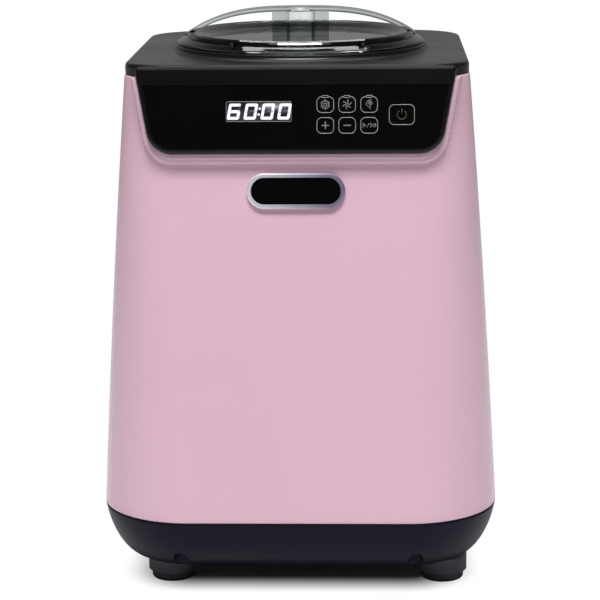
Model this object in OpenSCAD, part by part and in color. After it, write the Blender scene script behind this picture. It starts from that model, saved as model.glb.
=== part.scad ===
/* [Housing] */
// Width of the housing at its lower edge
base_w = 263; // [252:1:280]
// Depth of the housing at its lower edge
base_d = 294; // [282:1:308]
// Width of the housing at its upper edge
top_w = 225; // [216:1:236]
// Distance from the bowl's axis to the front of the upper edge
top_front = 108; // [104:1:114]
// Distance from the bowl's axis to the rear of the upper edge
top_rear = 121; // [116:1:128]
// Height of the housing shell
shell_h = 286.2; // [276:0.2:302]
// Radius of the upright corners at the lower edge
base_corner_r = 60; // [54:1:64]
// Radius of the front corners at the upper edge
top_corner_r = 28; // [24:1:34]
// Radius of the rear corners at the upper edge
rear_corner_r = 38; // [30:1:42]
// How far the sides swell outward midway up
side_bulge = 1; // [0:0.1:2]
// Sheet thickness of the housing shell
shell_wall = 1.2; // [0.8:0.1:2]
// Width of the flange turned in at the shell's lower edge
shell_flange = 18; // [17:1:20]
// Width of the lip turned in at the shell's upper edge
shell_lip = 8; // [6:0.5:10]

/* [Base and feet] */
// Height of the pads under the rubber feet
foot_pad_h = 5.5; // [4:0.5:8]
// Radius of the rubber foot pads
foot_pad_r = 14.3; // [12:0.1:15]
// Radius of the feet above their pads, where they meet the tray
foot_boss_r = 16.5; // [16:0.1:18]
// Height of the feet above their pads
foot_boss_h = 11; // [8:0.5:14]
// Distance from the housing's left side to the middle of the left feet
foot_left_inset = 45.7; // [40:0.1:50]
// Distance from the housing's right side to the middle of the right feet
foot_right_inset = 36; // [36:0.1:50]
// Distance from the housing's front and rear to the middle of the feet
foot_inset_y = 47.5; // [46:0.5:54]
// Height of the base tray
tray_h = 35; // [32:0.5:40]
// Straight taper of the tray towards its underside
tray_taper = 5.5; // [4:0.5:8]
// Rounding of the tray towards its underside
tray_round = 17.5; // [14:0.5:20]
// Wall thickness of the tray
tray_wall = 2.5; // [2:0.1:3]
// Distance from the housing's sides to the screw wells of the tray
screw_well_inset = 54.2; // [52:0.1:60]
// Radius of the screw wells
screw_well_r = 4.7; // [4.4:0.1:5.5]

/* [Deck and console] */
// Height of the deck's rim
deck_rim_h = 7.9; // [7.5:0.1:10]
// Moulding thickness of the deck
deck_t = 3; // [2.5:0.1:4]
// Radius of the well in the deck
well_r = 76; // [75.6:0.1:77]
// Height of the collar round the well
collar_h = 3.6; // [3:0.1:5]
// Width of the concave fillet outside the collar
collar_fillet = 5; // [3:0.5:8]
// Half of the console's width at the top
console_hw = 102.8; // [98:0.1:104]
// Height of the console along its face
console_h = 56; // [52:0.5:60]
// Distance from the bowl's axis to the console's brow
brow_y = 113; // [112:0.5:116]
// Tilt of the console's face from upright
console_tilt = 10.2; // [9:0.1:12]
// Radius of the console's lower corners
console_corner_r = 17; // [14:0.5:20]
// Half of the distance between the centres of those corners
console_corner_x = 78.9; // [74:0.1:80]
// Width of the matte frame round the glass
console_frame = 3.4; // [3:0.1:5]
// Height of the brow above the glass
brow_h = 12; // [12:0.5:16]
// Rise of the shell's raised seat behind the console
seat_rise = 3; // [2:0.1:3.4]
// Width of the seat's shoulder beside the console
seat_grow = 1.4; // [1:0.1:3]
// How much wider the shoulder is below the console
seat_drop = 3.6; // [2:0.1:4.5]
// Thickness of the control panel's glass
glass_t = 1.5; // [1.2:0.1:1.6]
// Width of the display window
display_w = 42.4; // [38:0.1:46]
// Height of the display window
display_h = 13.2; // [11:0.1:15]
// Distance of the display's centre left of the middle
display_x = 23.7; // [22:0.1:26]
// Distance of the display's centre below the brow, along the face
display_v = 28.7; // [28:0.1:30]

/* [Badge] */
// Length of the badge
badge_w = 63.4; // [56:0.2:70]
// Height of the badge
badge_h = 22.8; // [18:0.2:26]
// Distance of the badge's centre below the shell's upper edge
badge_drop = 71.6; // [70:0.2:90]
// Width of the badge's bright rim
badge_rim = 2.8; // [2:0.1:4]
// Projection of the badge from the shell
badge_t = 2.8; // [2:0.1:4]

/* [Lid] */
// Radius of the lid
lid_r = 84.2; // [84:0.1:85]
// Moulding thickness of the lid
lid_t = 2; // [1.6:0.1:2.4]
// Rise of the lid's crest above its rim
crest_rise = 8; // [7:0.1:9]
// Rise of the handle's arch above the crest
arch_rise = 16; // [14:0.5:18]
// Width of the handle's arch
arch_w = 20; // [16:0.5:24]
// Thickness of the handle's arch
arch_t = 2.4; // [2:0.1:3]
// Half of the handle's span
arch_half = 78.3; // [76:0.1:79]
// Radius of the column under the handle
column_r = 9.8; // [9:0.1:11]

/* [Bowl and paddle] */
// Inner radius of the bowl
bowl_r = 73.4; // [73:0.1:73.8]
// Wall thickness of the bowl
bowl_t = 1.6; // [1.2:0.1:1.8]
// Depth of the bowl below its flange
bowl_depth = 112; // [104:1:120]
// Radius of the bowl's flange
bowl_flange_r = 81.5; // [80:0.1:82]
// Outer radius of the bowl's centre tube
tube_r = 10; // [9.6:0.1:11]
// Height of the centre tube above the bowl's underside
tube_h = 72; // [64:1:80]
// Thickness of the paddle's blades
blade_t = 4; // [3:0.1:5]

/* [Cold well] */
// Wall thickness of the evaporator drum
drum_t = 1.2; // [1:0.1:1.6]
// Tube radius of the evaporator coil
coil_tube_r = 3; // [2.5:0.1:3.2]
// Number of turns of the evaporator coil
coil_turns = 9; // [6:1:10]
// Outer radius of the foam jacket
jacket_r = 97; // [94:1:99]
// Thickness of the foam under the drum
jacket_floor = 24; // [20:1:28]

/* [Drive] */
// Radius of the drive spindle
spindle_r = 5; // [4.5:0.1:5.5]
// Width across the flats of the spindle's hexagon
hex_af = 8; // [7:0.1:8.4]
// Teeth of the output gear
output_teeth = 42; // [36:2:42]
// Teeth of the small intermediate gear
small_teeth = 14; // [14:2:16]
// Module of the second gear stage
stage_two_module = 1.75; // [1.5:0.05:1.75]
// Teeth of the large intermediate gear
large_teeth = 56; // [48:2:56]
// Teeth of the motor pinion
pinion_teeth = 14; // [14:2:16]
// Module of the first gear stage
stage_one_module = 1.25; // [1:0.05:1.25]
// Radius of the drive motor
motor_r = 31; // [26:0.5:32]
// Length of the drive motor
motor_h = 90; // [70:1:100]

/* [Refrigeration] */
// Radius of the compressor's can
compressor_r = 50; // [44:0.5:50]
// Room between the compressor and the gearbox over it
compressor_room = 17; // [12:1:30]
// Radius of the fan's blades
fan_r = 47; // [40:0.5:48]
// Number of fan blades
fan_blades = 5; // [3:1:7]
// Width of the condenser's fin stack
condenser_w = 104; // [90:1:106]
// Height of the condenser
condenser_h = 120; // [100:1:124]
// Depth of the condenser
condenser_d = 20; // [16:1:22]
// Spacing of the condenser's fins
fin_pitch = 4; // [3:0.5:6]

/* [Hidden] */

$fn = 96;
hull_fn = 48;
eps = 0.01;
seam = 0.3;        // gap between parts that meet without a fit
rest = 0.2;        // gap under a part that lifts off
running = 0.05;    // radial clearance of a running shaft

// Levels of the main parts
tray_z0 = foot_pad_h + foot_boss_h;
tray_z1 = tray_z0 + tray_h;
foot_left_x = base_w / 2 - foot_left_inset;
foot_right_x = base_w / 2 - foot_right_inset;
foot_y = base_d / 2 - foot_inset_y;
foot_screw_r = 2;
screw_well_x = base_w / 2 - screw_well_inset;
screw_well_y = base_d / 2 - 12.8;
shell_z0 = tray_z1 + seam;
shell_z1 = shell_z0 + shell_h;
deck_z0 = shell_z1 + seam;
deck_z = deck_z0 + deck_rim_h;
ledge_z = deck_z - 1;
collar_z = deck_z + collar_h;
collar_r = lid_r - 1;

// Cold well, hung from the deck
gasket_z = ledge_z - 1;
gasket_t = 1.2;
gasket_r0 = well_r + 1.5;
gasket_r1 = gasket_r0 + 3;
bowl_seat_z = gasket_z + gasket_t + rest;
bowl_flange_t = 1.6;
bowl_z0 = bowl_seat_z - bowl_depth;
bowl_floor_z = bowl_z0 + bowl_t;
bowl_outer_r = bowl_r + bowl_t;
tube_z = bowl_z0 + tube_h;
drum_gap = 0.4;
drum_r = bowl_outer_r + drum_gap;
drum_z1 = bowl_z0 - drum_gap;
drum_z0 = drum_z1 - drum_t;
drum_top = deck_z - deck_t - seam;
coil_r = drum_r + drum_t + coil_tube_r + 0.1;
jacket_bore_r = coil_r + coil_tube_r + 1;
frame_z = drum_z0 - jacket_floor;
frame_t = 2;
sleeve_r0 = drum_r + drum_t + seam;
sleeve_h = 18;

// Drive train, under the frame
gearbox_top = frame_z - frame_t;
gearbox_plate = 3;
gearbox_depth = 25;
gearbox_floor = gearbox_top - gearbox_plate - gearbox_depth;
cover_t = 3;
output_pitch_r = output_teeth * stage_two_module / 2;
small_pitch_r = small_teeth * stage_two_module / 2;
large_pitch_r = large_teeth * stage_one_module / 2;
pinion_pitch_r = pinion_teeth * stage_one_module / 2;
stage_two_distance = output_pitch_r + small_pitch_r;
stage_one_distance = large_pitch_r + pinion_pitch_r;
train_angle = -45;
mid_x = stage_two_distance * cos(train_angle);
mid_y = stage_two_distance * sin(train_angle);
motor_x = mid_x;
motor_y = mid_y - stage_one_distance;
mid_shaft_r = 3;
motor_shaft_r = 2.5;
gear_gap = 1;
stage_one_t = 8;
stage_two_t = 11;
stage_one_z = gearbox_floor + gear_gap;
stage_two_z = stage_one_z + stage_one_t + 1.5;
spindle_z0 = gearbox_floor - cover_t + 1;
hex_z0 = tube_z + 1;
hex_h = 16;
bearing_r = 9;
seal_h = 3.6;
seal_r = 7.6;

// Lid
lid_z = collar_z + rest;
floor_z = lid_z + crest_rise - 4.2;
crest_z = lid_z + crest_rise;
arch_z = crest_z + arch_rise;
arch_drop = arch_rise + 1.5;
skirt_r = bowl_r - 1.2;
skirt_z = bowl_seat_z - 6;
socket_r = 6.4;
socket_z = floor_z - lid_t - 7.4;
column_bore_r = column_r - 2;

// Machinery on the chassis plate
plate_z = tray_z0 + 7.5;
plate_t = 2;
floor_top = plate_z + plate_t;
plate_hw = base_w / 2 - 18.5;
plate_hd = base_d / 2 - 22;
plate_r = 44;
compressor_x = -57;
compressor_y = 40;
compressor_z = floor_top + 14;
compressor_h = gearbox_floor - cover_t - compressor_room - compressor_z;
bracket_t = 2;
grommet_x = 40;
grommet_y = 40;
grommet_r = 8;
stud_r = 3;
nut_r = 4.4;
post_x = plate_hw - 13;
post_front = base_d / 2 - 77;
post_rear = base_d / 2 - 48;
post_r = 5;
fan_x = post_x - 64;
fan_z = floor_top + 84;
fan_depth = 12;
fan_shaft_r = 1.5;
fan_motor_r = 17;
fan_motor_h = 24;
condenser_y = base_d / 2 - 43.5;
condenser_z = floor_top + 22;
shroud_y = condenser_y - 3;
shroud_t = 1.5;
shroud_hw = 56;
fan_y = shroud_y - 15;
spider_y = fan_y - 8;
spider_t = 2.5;
condenser_x0 = fan_x - condenser_w / 2;
tube_rows = 6;
cond_tube_r = 3.5;
pipe_r = 3;
discharge_x = 20;
capillary_r = 1;
suction_at = [-coil_r, 0];
capillary_at = [-coil_r * cos(45), -coil_r * sin(45)];
board_x = -50;
board_y = 36 - base_d / 2;
board_t = 1.6;
board_stand = 4.5;
bracket_sheet = 1.5;
board_w = 84;
board_h = 76;
board_z = floor_top + 34;

// Console and badge
brow_root = 5;
panel_board_t = 1.6;
panel_board_n = 12;
panel_board_w = 146;
panel_board_h = 26;
panel_board_v = 30;
panel_boss_x = panel_board_w / 2 - 5;
panel_boss_v = 9;
panel_window_hw = panel_board_w / 2 + 2;
panel_window_h = 30;
badge_level = shell_z1 - badge_drop;
front_tilt = atan((base_d / 2 - top_front) / shell_h);
rear_tilt = atan((base_d / 2 - top_rear) / shell_h);

// Rear cover
cover_z0 = shell_z0 + 30;
cover_z1 = shell_z1 - 16;
cover_hw = min(base_w / 2 - base_corner_r, top_w / 2 - rear_corner_r) + 4;
cover_r = 12;
cover_sheet = 1.8;
cover_lap = 11;
vent_columns = 3;
vent_rib = 6;
vent_w = (2 * (cover_hw - cover_lap - vent_rib) - (vent_columns - 1) * vent_rib) / vent_columns;
vent_h = 3.4;
vent_pitch_x = vent_w + vent_rib;
vent_pitch_z = 9;
vent_start = cover_lap + 36;
gland_r = 7;
gland_x = gland_r + 5 + cover_lap - cover_hw;
gland_z = 20;
deck_boss_x = top_w / 2 - 20.5;
deck_boss_front = top_front - 30;
deck_boss_rear = top_rear - 29;
deck_boss_r = 4;
deck_screw_r = 1.4;
deck_screw_z = deck_z - 2.2;

function mix(a, b, t) = a + (b - a) * t;
function shell_part(z) = (z - shell_z0) / shell_h;
function body_hw(z) = mix(base_w / 2, top_w / 2, shell_part(z))
  + 4 * side_bulge * shell_part(z) * (1 - shell_part(z));
function body_front(z) = mix(-base_d / 2, -top_front, shell_part(z));
function body_rear(z) = mix(base_d / 2, top_rear, shell_part(z));
function front_corner(z) = mix(base_corner_r, top_corner_r, shell_part(z));
function rear_corner(z) = mix(base_corner_r, rear_corner_r, shell_part(z));
function tray_inset(u) = 0.2 + tray_taper * u + tray_round * (1 - sqrt(max(0, 1 - u * u)));
function arch_level(x) = arch_z - arch_drop * pow(abs(x) / arch_half, 3);

// Rectangle with round corners from y0 to y1
module round_plan(hw, y0, y1, r, fn = 96) {
  for (x = [-1, 1]) for (y = [y0 + r, y1 - r]) translate([x * (hw - r), y]) circle(r, $fn = fn);
  translate([-hw + r, y0]) square([2 * (hw - r), y1 - y0]);
  translate([-hw, y0 + r]) square([2 * hw, y1 - y0 - 2 * r]);
}

// Corner discs of a plan whose front and rear corners differ; their hull is the plan
module corner_discs(hw, y0, y1, front_r, rear_r) {
  for (x = [-1, 1]) {
    translate([x * (hw - front_r), y0 + front_r]) circle(front_r, $fn = hull_fn);
    translate([x * (hw - rear_r), y1 - rear_r]) circle(rear_r, $fn = hull_fn);
  }
}

module top_plan(inset) {
  hull() corner_discs(top_w / 2 - inset, inset - top_front, top_rear - inset,
    top_corner_r - inset, rear_corner_r - inset);
}

module stadium_ends(w, h) {
  for (x = [-1, 1]) translate([x * (w - h) / 2, 0]) circle(h / 2, $fn = 64);
}

module stadium(w, h) {
  stadium_ends(w, h);
  square([w - h, h], center = true);
}

module ring(r0, r1, h) {
  difference() {
    cylinder(r = r1, h = h);
    translate([0, 0, -1]) cylinder(r = r0, h = h + 2);
  }
}

// Round pipe through a list of points, with ball bends
module pipe(points, r) {
  for (i = [0 : len(points) - 2]) {
    run = points[i + 1] - points[i];
    reach = norm(run);
    translate(points[i])
      rotate([0, acos(run[2] / reach), atan2(run[1], run[0])])
        cylinder(r = r, h = reach, $fn = 24);
  }
  for (i = [1 : 1 : len(points) - 2]) translate(points[i]) sphere(r, $fn = 24);
}

// Screw standing on its head, pointing up
module screw(head_r, head_h, shank_r, length) {
  cylinder(r = head_r, h = head_h, $fn = 32);
  cylinder(r = shank_r, h = length, $fn = 32);
}

module on_front(z) {
  translate([0, body_front(z), z]) rotate([90 - front_tilt, 0, 0]) children();
}

module on_rear(z) {
  translate([0, body_rear(z), z]) rotate([90 - rear_tilt, 0, 180]) children();
}

module on_console() {
  translate([0, -brow_y, deck_z]) rotate([90 - console_tilt, 0, 0]) children();
}

// ---------------------------------------------------------------- housing

module body_slice(z, inset) {
  translate([0, 0, z]) linear_extrude(eps)
    corner_discs(body_hw(z) - inset, body_front(z) + inset, body_rear(z) - inset,
      front_corner(z) - inset, rear_corner(z) - inset);
}

module body_solid(z0, z1, inset) {
  hull() for (i = [0 : 4]) body_slice(mix(z0, z1 - eps, i / 4), inset);
}

// Discs whose hull is the console's outline in its own plane, widened all round by grow
module console_discs(grow) {
  top_r = max(3 + grow, 0.5);
  for (x = [-1, 1]) {
    translate([x * (console_hw + grow - top_r), grow - top_r]) circle(top_r, $fn = 24);
    translate([x * console_corner_x, console_corner_r - console_h])
      circle(console_corner_r + grow, $fn = 48);
  }
}

module console_outline(grow) {
  hull() console_discs(grow);
}

// Raised seat behind the console; it shows as a narrow shoulder, wider below than at the sides
module console_seat() {
  intersection() {
    on_front(deck_z) translate([0, -seat_drop, 0]) hull() {
      translate([0, 0, seat_rise - eps]) linear_extrude(eps) console_discs(seat_grow);
      translate([0, 0, seat_rise - 0.8]) linear_extrude(eps) console_discs(seat_grow + 0.5);
      translate([0, 0, -14]) linear_extrude(eps) console_discs(seat_grow + 3.1);
    }
    translate([-base_w, -base_d, shell_z0]) cube([2 * base_w, 2 * base_d, shell_h]);
  }
}

module shell_flange_ring() {
  difference() {
    body_solid(shell_z0, shell_z0 + shell_wall, 0.2);
    translate([0, 0, shell_z0 - 1]) linear_extrude(shell_wall + 2)
      round_plan(base_w / 2 - shell_flange, -base_d / 2 + shell_flange, base_d / 2 - shell_flange,
        base_corner_r - shell_flange);
  }
}

module housing_shell() color("pink") {
  difference() {
    union() {
      difference() {
        union() {
          body_solid(shell_z0, shell_z1, 0);
          console_seat();
        }
        body_solid(shell_z0 - 1, shell_z1 - shell_wall, shell_wall);
        translate([0, 0, shell_z1 - 10]) linear_extrude(20) top_plan(shell_lip);
      }
      shell_flange_ring();
    }
    // opening behind the display board
    on_front(deck_z) translate([-panel_window_hw, -panel_board_v - panel_window_h / 2, -20])
      cube([2 * panel_window_hw, panel_window_h, 30]);
    // service opening behind the rear cover
    on_rear(cover_z0 + cover_lap) translate([0, 0, -10]) linear_extrude(20)
      round_plan(cover_hw - cover_lap, 0, (cover_z1 - cover_z0) - 2 * cover_lap, 6);
    tray_screw_places() translate([0, 0, shell_z0 - 1]) cylinder(r = 2.1, h = 4);
    rear_screw_places() translate([0, 0, -4]) cylinder(r = 1.5, h = 8);
    deck_screw_places() translate([0, 0, shell_z1 - 3]) cylinder(r = 1.8, h = 6);
    for (x = [-1, 1]) on_front(badge_level) translate([x * badge_w / 4, 0, -4]) cylinder(r = 1.5, h = 8);
  }
}

// -------------------------------------------------------------- rear cover

module rear_screw_places() {
  rise = (cover_z1 - cover_z0) / 2;
  for (x = [-1, 1]) for (v = [5.5, rise, 2 * rise - 5.5])
    on_rear(cover_z0) translate([x * (cover_hw - 5.5), v, 0]) children();
}

module rear_cover() color([0.09, 0.09, 0.1]) {
  rows = floor((cover_z1 - cover_z0 - 2 * cover_lap - 40) / vent_pitch_z);
  difference() {
    on_rear(cover_z0) translate([0, 0, running]) linear_extrude(cover_sheet)
      difference() {
        round_plan(cover_hw, 0, cover_z1 - cover_z0, cover_r);
        for (i = [0 : rows - 1]) for (j = [0 : vent_columns - 1])
          translate([(j - (vent_columns - 1) / 2) * vent_pitch_x, vent_start + i * vent_pitch_z])
            stadium(vent_w, vent_h);
        translate([gland_x, gland_z]) circle(gland_r + running);
      }
    rear_screw_places() {
      translate([0, 0, -1]) cylinder(r = 1.7, h = 8);
      translate([0, 0, cover_sheet - 1]) cylinder(r = 3.2, h = 3);
    }
  }
}

module rear_cover_screws() color("dimgray")
  rear_screw_places() translate([0, 0, cover_sheet - 0.1]) rotate([180, 0, 0]) screw(3, 0.9, 1.4, 8);

module cord_gland() color([0.05, 0.05, 0.05])
  on_rear(cover_z0) translate([gland_x, gland_z, 0]) difference() {
    union() {
      translate([0, 0, -9]) cylinder(r = gland_r, h = 9 + cover_sheet + 0.5);
      translate([0, 0, -9]) cylinder(r = gland_r + 2, h = 3);
      translate([0, 0, cover_sheet + running]) cylinder(r = gland_r + 1.2, h = 1);
    }
    translate([0, 0, -12]) cylinder(r = 3.6, h = 20);
  }

// -------------------------------------------------------------------- deck

module deck_screw_places() {
  for (x = [-deck_boss_x, deck_boss_x]) for (y = [-deck_boss_front, deck_boss_rear])
    translate([x, y, 0]) children();
}

module deck_slice(z, inset) {
  translate([0, 0, z]) linear_extrude(eps)
    corner_discs(top_w / 2 - inset, inset - top_front, top_rear - inset,
      top_corner_r - inset, rear_corner_r - inset);
}

module deck_rim() {
  hull() {
    deck_slice(deck_z0, 0.6);
    deck_slice(deck_z - 2.6, 0.5);
    deck_slice(deck_z - 1.1, 0.9);
    deck_slice(deck_z - 0.3, 1.8);
    deck_slice(deck_z - eps, 3);
  }
}

// Collar with a concave fillet outside and a round crown
module collar() {
  fillet = [for (a = [0 : 15 : 90])
    [collar_r + 2.6 + collar_fillet * (1 - sin(a)), deck_z - 0.5 + (collar_h - 0.6) * (1 - cos(a))]];
  crown = [for (a = [0 : 30 : 90]) [collar_r + 1.4 + 1.2 * cos(a), collar_z - 1 + sin(a)]];
  rotate_extrude($fn = 128) polygon(concat([[collar_r, deck_z - 2]], [[collar_r + 2.6 + collar_fillet,
    deck_z - 2]], fillet, crown, [[collar_r, collar_z]]));
}

module console_body() {
  difference() {
    on_console() hull() {
      translate([0, 0, -16]) linear_extrude(eps) console_discs(0);
      translate([0, 0, -2.4]) linear_extrude(eps) console_discs(0);
      translate([0, 0, -1]) linear_extrude(eps) console_discs(-0.5);
      translate([0, 0, -0.3]) linear_extrude(eps) console_discs(-1.2);
      translate([0, 0, -eps]) linear_extrude(eps) console_discs(-2.2);
    }
    on_front(deck_z) translate([-base_w, -deck_rim_h - 150, -60])
      cube([2 * base_w, 150, 60 + seat_rise + seam]);
    // the brow ends behind the deck's round edge
    translate([-base_w, brow_root - top_front, deck_z0 - 5]) cube([2 * base_w, 60, 60]);
    // room for the lip of the shell
    translate([-base_w, -top_front, deck_z0 - 30]) cube([2 * base_w, 60, 30]);
  }
}

module glass_outline(gap) {
  intersection() {
    console_outline(-console_frame - gap);
    translate([-base_w, -base_w - brow_h - gap]) square([2 * base_w, base_w]);
  }
}

module display_frame(grow) {
  translate([-display_x - display_w / 2 - grow, -display_v - display_h / 2 - grow])
    square([display_w + 2 * grow, display_h + 2 * grow]);
}

module panel_screw_places() {
  for (x = [-panel_boss_x, panel_boss_x]) for (v = [-panel_boss_v, panel_boss_v])
    on_console() translate([x, v - panel_board_v, 0]) children();
}

module top_deck() color([0.13, 0.14, 0.13]) {
  difference() {
    union() {
      difference() {
        deck_rim();
        translate([0, 0, deck_z0 - 5]) linear_extrude(deck_rim_h + 5 - deck_t) top_plan(deck_t);
      }
      collar();
      translate([0, 0, deck_z - deck_t - sleeve_h]) ring(sleeve_r0, sleeve_r0 + 2, sleeve_h + 1);
      translate([0, 0, gasket_z - 2.5]) ring(well_r, collar_r + 2, 3);
      deck_screw_places() translate([0, 0, deck_z0]) cylinder(r = deck_boss_r, h = deck_rim_h - 1);
      console_body();
      panel_screw_places() translate([0, 0, panel_board_t - panel_board_n])
        cylinder(r = 3, h = panel_board_n - panel_board_t - 2, $fn = 32);
    }
    translate([0, 0, ledge_z]) cylinder(r = collar_r, h = 20);
    translate([0, 0, deck_z - 30]) cylinder(r = well_r, h = 60);
    translate([0, 0, gasket_z]) ring(gasket_r0, gasket_r1, 5);
    translate([0, 0, deck_z - 40]) cylinder(r = sleeve_r0, h = 40 - deck_t);
    deck_screw_places() translate([0, 0, deck_z0 - 1])
      cylinder(r = deck_screw_r, h = deck_screw_z + seam - deck_z0 + 1);
    on_console() {
      translate([0, 0, -glass_t - 0.4]) linear_extrude(10) glass_outline(0);
      translate([0, 0, -30]) linear_extrude(30) display_frame(0.6);
    }
    panel_screw_places() translate([0, 0, -panel_board_n]) cylinder(r = 1, h = 7, $fn = 24);
  }
}

module deck_screws() color("silver") {
  low = shell_z1 - shell_wall - 1.8;
  deck_screw_places() translate([0, 0, low]) screw(3, 1.8, deck_screw_r, deck_screw_z - low);
}

module control_panel_glass() color([0.02, 0.02, 0.02])
  on_console() translate([0, 0, -glass_t - 0.3]) linear_extrude(glass_t) glass_outline(0.15);

module display_module() color([0.85, 0.9, 0.95])
  on_console() translate([0, 0, panel_board_t - panel_board_n])
    linear_extrude(panel_board_n - panel_board_t - glass_t - 0.5) display_frame(0.3);

module display_board() color("darkgreen")
  on_console() translate([0, 0, -panel_board_n]) linear_extrude(panel_board_t) difference() {
    translate([0, -panel_board_v]) square([panel_board_w, panel_board_h], center = true);
    for (x = [-panel_boss_x, panel_boss_x]) for (v = [-panel_boss_v, panel_boss_v])
      translate([x, v - panel_board_v]) circle(1.2, $fn = 24);
  }

module display_board_screws() color("silver")
  panel_screw_places() translate([0, 0, -panel_board_n - 1.4]) screw(2.2, 1.4, 1, 7);

// ------------------------------------------------------------------- badge

module badge_bezel() color("silver")
  on_front(badge_level) translate([0, 0, running]) difference() {
    hull() {
      linear_extrude(eps) stadium_ends(badge_w, badge_h);
      translate([0, 0, badge_t - 1]) linear_extrude(eps) stadium_ends(badge_w, badge_h);
      translate([0, 0, badge_t - eps]) linear_extrude(eps) stadium_ends(badge_w - 2, badge_h - 2);
    }
    translate([0, 0, -1]) linear_extrude(badge_t + 2)
      stadium(badge_w - 2 * badge_rim, badge_h - 2 * badge_rim);
  }

module badge_insert() color([0.02, 0.02, 0.02])
  on_front(badge_level) {
    translate([0, 0, running]) linear_extrude(badge_t - 1)
      stadium(badge_w - 2 * badge_rim, badge_h - 2 * badge_rim);
    for (x = [-1, 1]) translate([x * badge_w / 4, 0, -3]) cylinder(r = 1.5, h = 4);
  }

// -------------------------------------------------------------------- base

module tray_slice(u, inset) {
  cut = tray_inset(u) + inset;
  translate([0, 0, tray_z1 - u * tray_h - eps]) linear_extrude(eps)
    corner_discs(base_w / 2 - cut, cut - base_d / 2, base_d / 2 - cut,
      base_corner_r - cut, base_corner_r - cut);
}

module tray_solid(inset, last) {
  hull() for (i = [0 : 6]) tray_slice(min(sin(15 * i), last), inset);
}

module foot_places() {
  for (x = [-foot_left_x, foot_right_x]) for (y = [-foot_y, foot_y]) translate([x, y, 0]) children();
}

module tray_screw_places() {
  for (x = [-screw_well_x, screw_well_x]) for (y = [-screw_well_y, screw_well_y])
    translate([x, y, 0]) children();
}

module base_tray() color([0.1, 0.1, 0.13]) {
  floor_u = (tray_h - tray_wall) / tray_h;
  difference() {
    union() {
      difference() {
        tray_solid(0, 1);
        translate([0, 0, 0.2]) tray_solid(tray_wall, floor_u);
      }
      // bosses between the feet and the chassis plate
      foot_places() translate([0, 0, tray_z0]) cylinder(r = foot_boss_r, h = plate_z - tray_z0);
      intersection() {
        tray_solid(0, 1);
        tray_screw_places() cylinder(r = screw_well_r + 2.5, h = tray_z1);
      }
    }
    tray_screw_places() {
      cylinder(r = screw_well_r, h = tray_z0 + 15);
      cylinder(r = 2, h = tray_z1 + 5);
    }
    foot_places() translate([0, 0, tray_z0 - 1]) cylinder(r = foot_screw_r, h = plate_z - tray_z0 - 1);
    // air intake slots in the underside
    for (i = [-5 : 5]) translate([i * 9, 0, tray_z0 - 1]) linear_extrude(8) rotate(90) stadium(60, 3.4);
  }
}

module base_screws() color("silver")
  tray_screw_places() translate([0, 0, tray_z0 + 13]) screw(3.6, 2, 2, shell_z0 + 3 - tray_z0 - 13);

// Rubber foot: a tread pad under a wider shoulder, with a recess for its screw's head
module foot() {
  round = 1.8;
  top = tray_z0 - 2 * eps;
  edge = [for (a = [0 : 30 : 90]) [foot_pad_r - round + round * sin(a), round - round * cos(a)]];
  rotate_extrude() difference() {
    polygon(concat([[0, 0]], edge, [[foot_pad_r, foot_pad_h], [foot_boss_r - 0.8, foot_pad_h],
      [foot_boss_r, foot_pad_h + 0.8], [foot_boss_r, top], [0, top]]));
    square([foot_screw_r + 0.1, tray_z0 + 1]);
    square([4.6, 3]);
  }
}

module foot_front_left() color("#2a292d") translate([-foot_left_x, -foot_y, 0]) foot();
module foot_front_right() color("#2a292d") translate([foot_right_x, -foot_y, 0]) foot();
module foot_rear_left() color("#2a292d") translate([-foot_left_x, foot_y, 0]) foot();
module foot_rear_right() color("#2a292d") translate([foot_right_x, foot_y, 0]) foot();

module foot_screws() color("silver")
  foot_places() translate([0, 0, 0.8]) screw(4.2, 2.2, foot_screw_r, plate_z - 3);

// ----------------------------------------------------------- chassis frame

module post_places() {
  for (x = [-post_x, post_x]) for (y = [-post_front, post_rear]) translate([x, y, 0]) children();
}

module stud_places() {
  for (x = [-1, 1]) for (y = [-1, 1])
    translate([compressor_x + x * grommet_x, compressor_y + y * grommet_y, 0]) children();
}

module at_suction(z) {
  translate([suction_at[0], suction_at[1], z]) children();
}

module at_capillary(z) {
  translate([capillary_at[0], capillary_at[1], z]) children();
}

module chassis_plate() color("lightgray")
  translate([0, 0, plate_z]) linear_extrude(plate_t) difference() {
    round_plan(plate_hw, -plate_hd, plate_hd, plate_r);
    stud_places() circle(stud_r + running, $fn = 32);
    translate([fan_x, 40]) square([80, 50], center = true);
    translate([40, -60]) circle(18);
  }

module support_frame() color("gainsboro") {
  difference() {
    translate([0, 0, frame_z - frame_t]) linear_extrude(frame_t)
      round_plan(post_x + 8, -post_front - 8, post_rear + 8, 12);
    translate([0, 0, frame_z - 10]) cylinder(r = bearing_r + seam, h = 20);
    at_suction(frame_z - 10) cylinder(r = pipe_r + 0.6, h = 20);
    at_capillary(frame_z - 10) cylinder(r = capillary_r + 0.6, h = 20);
    gearbox_screw_places() translate([0, 0, frame_z - 10]) cylinder(r = 1.6, h = 20);
  }
  post_places() translate([0, 0, floor_top]) {
    cylinder(r = post_r, h = frame_z - frame_t - floor_top);
    cylinder(r = post_r + 2.5, h = 2);
  }
}

// ------------------------------------------------------------ refrigeration

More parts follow.
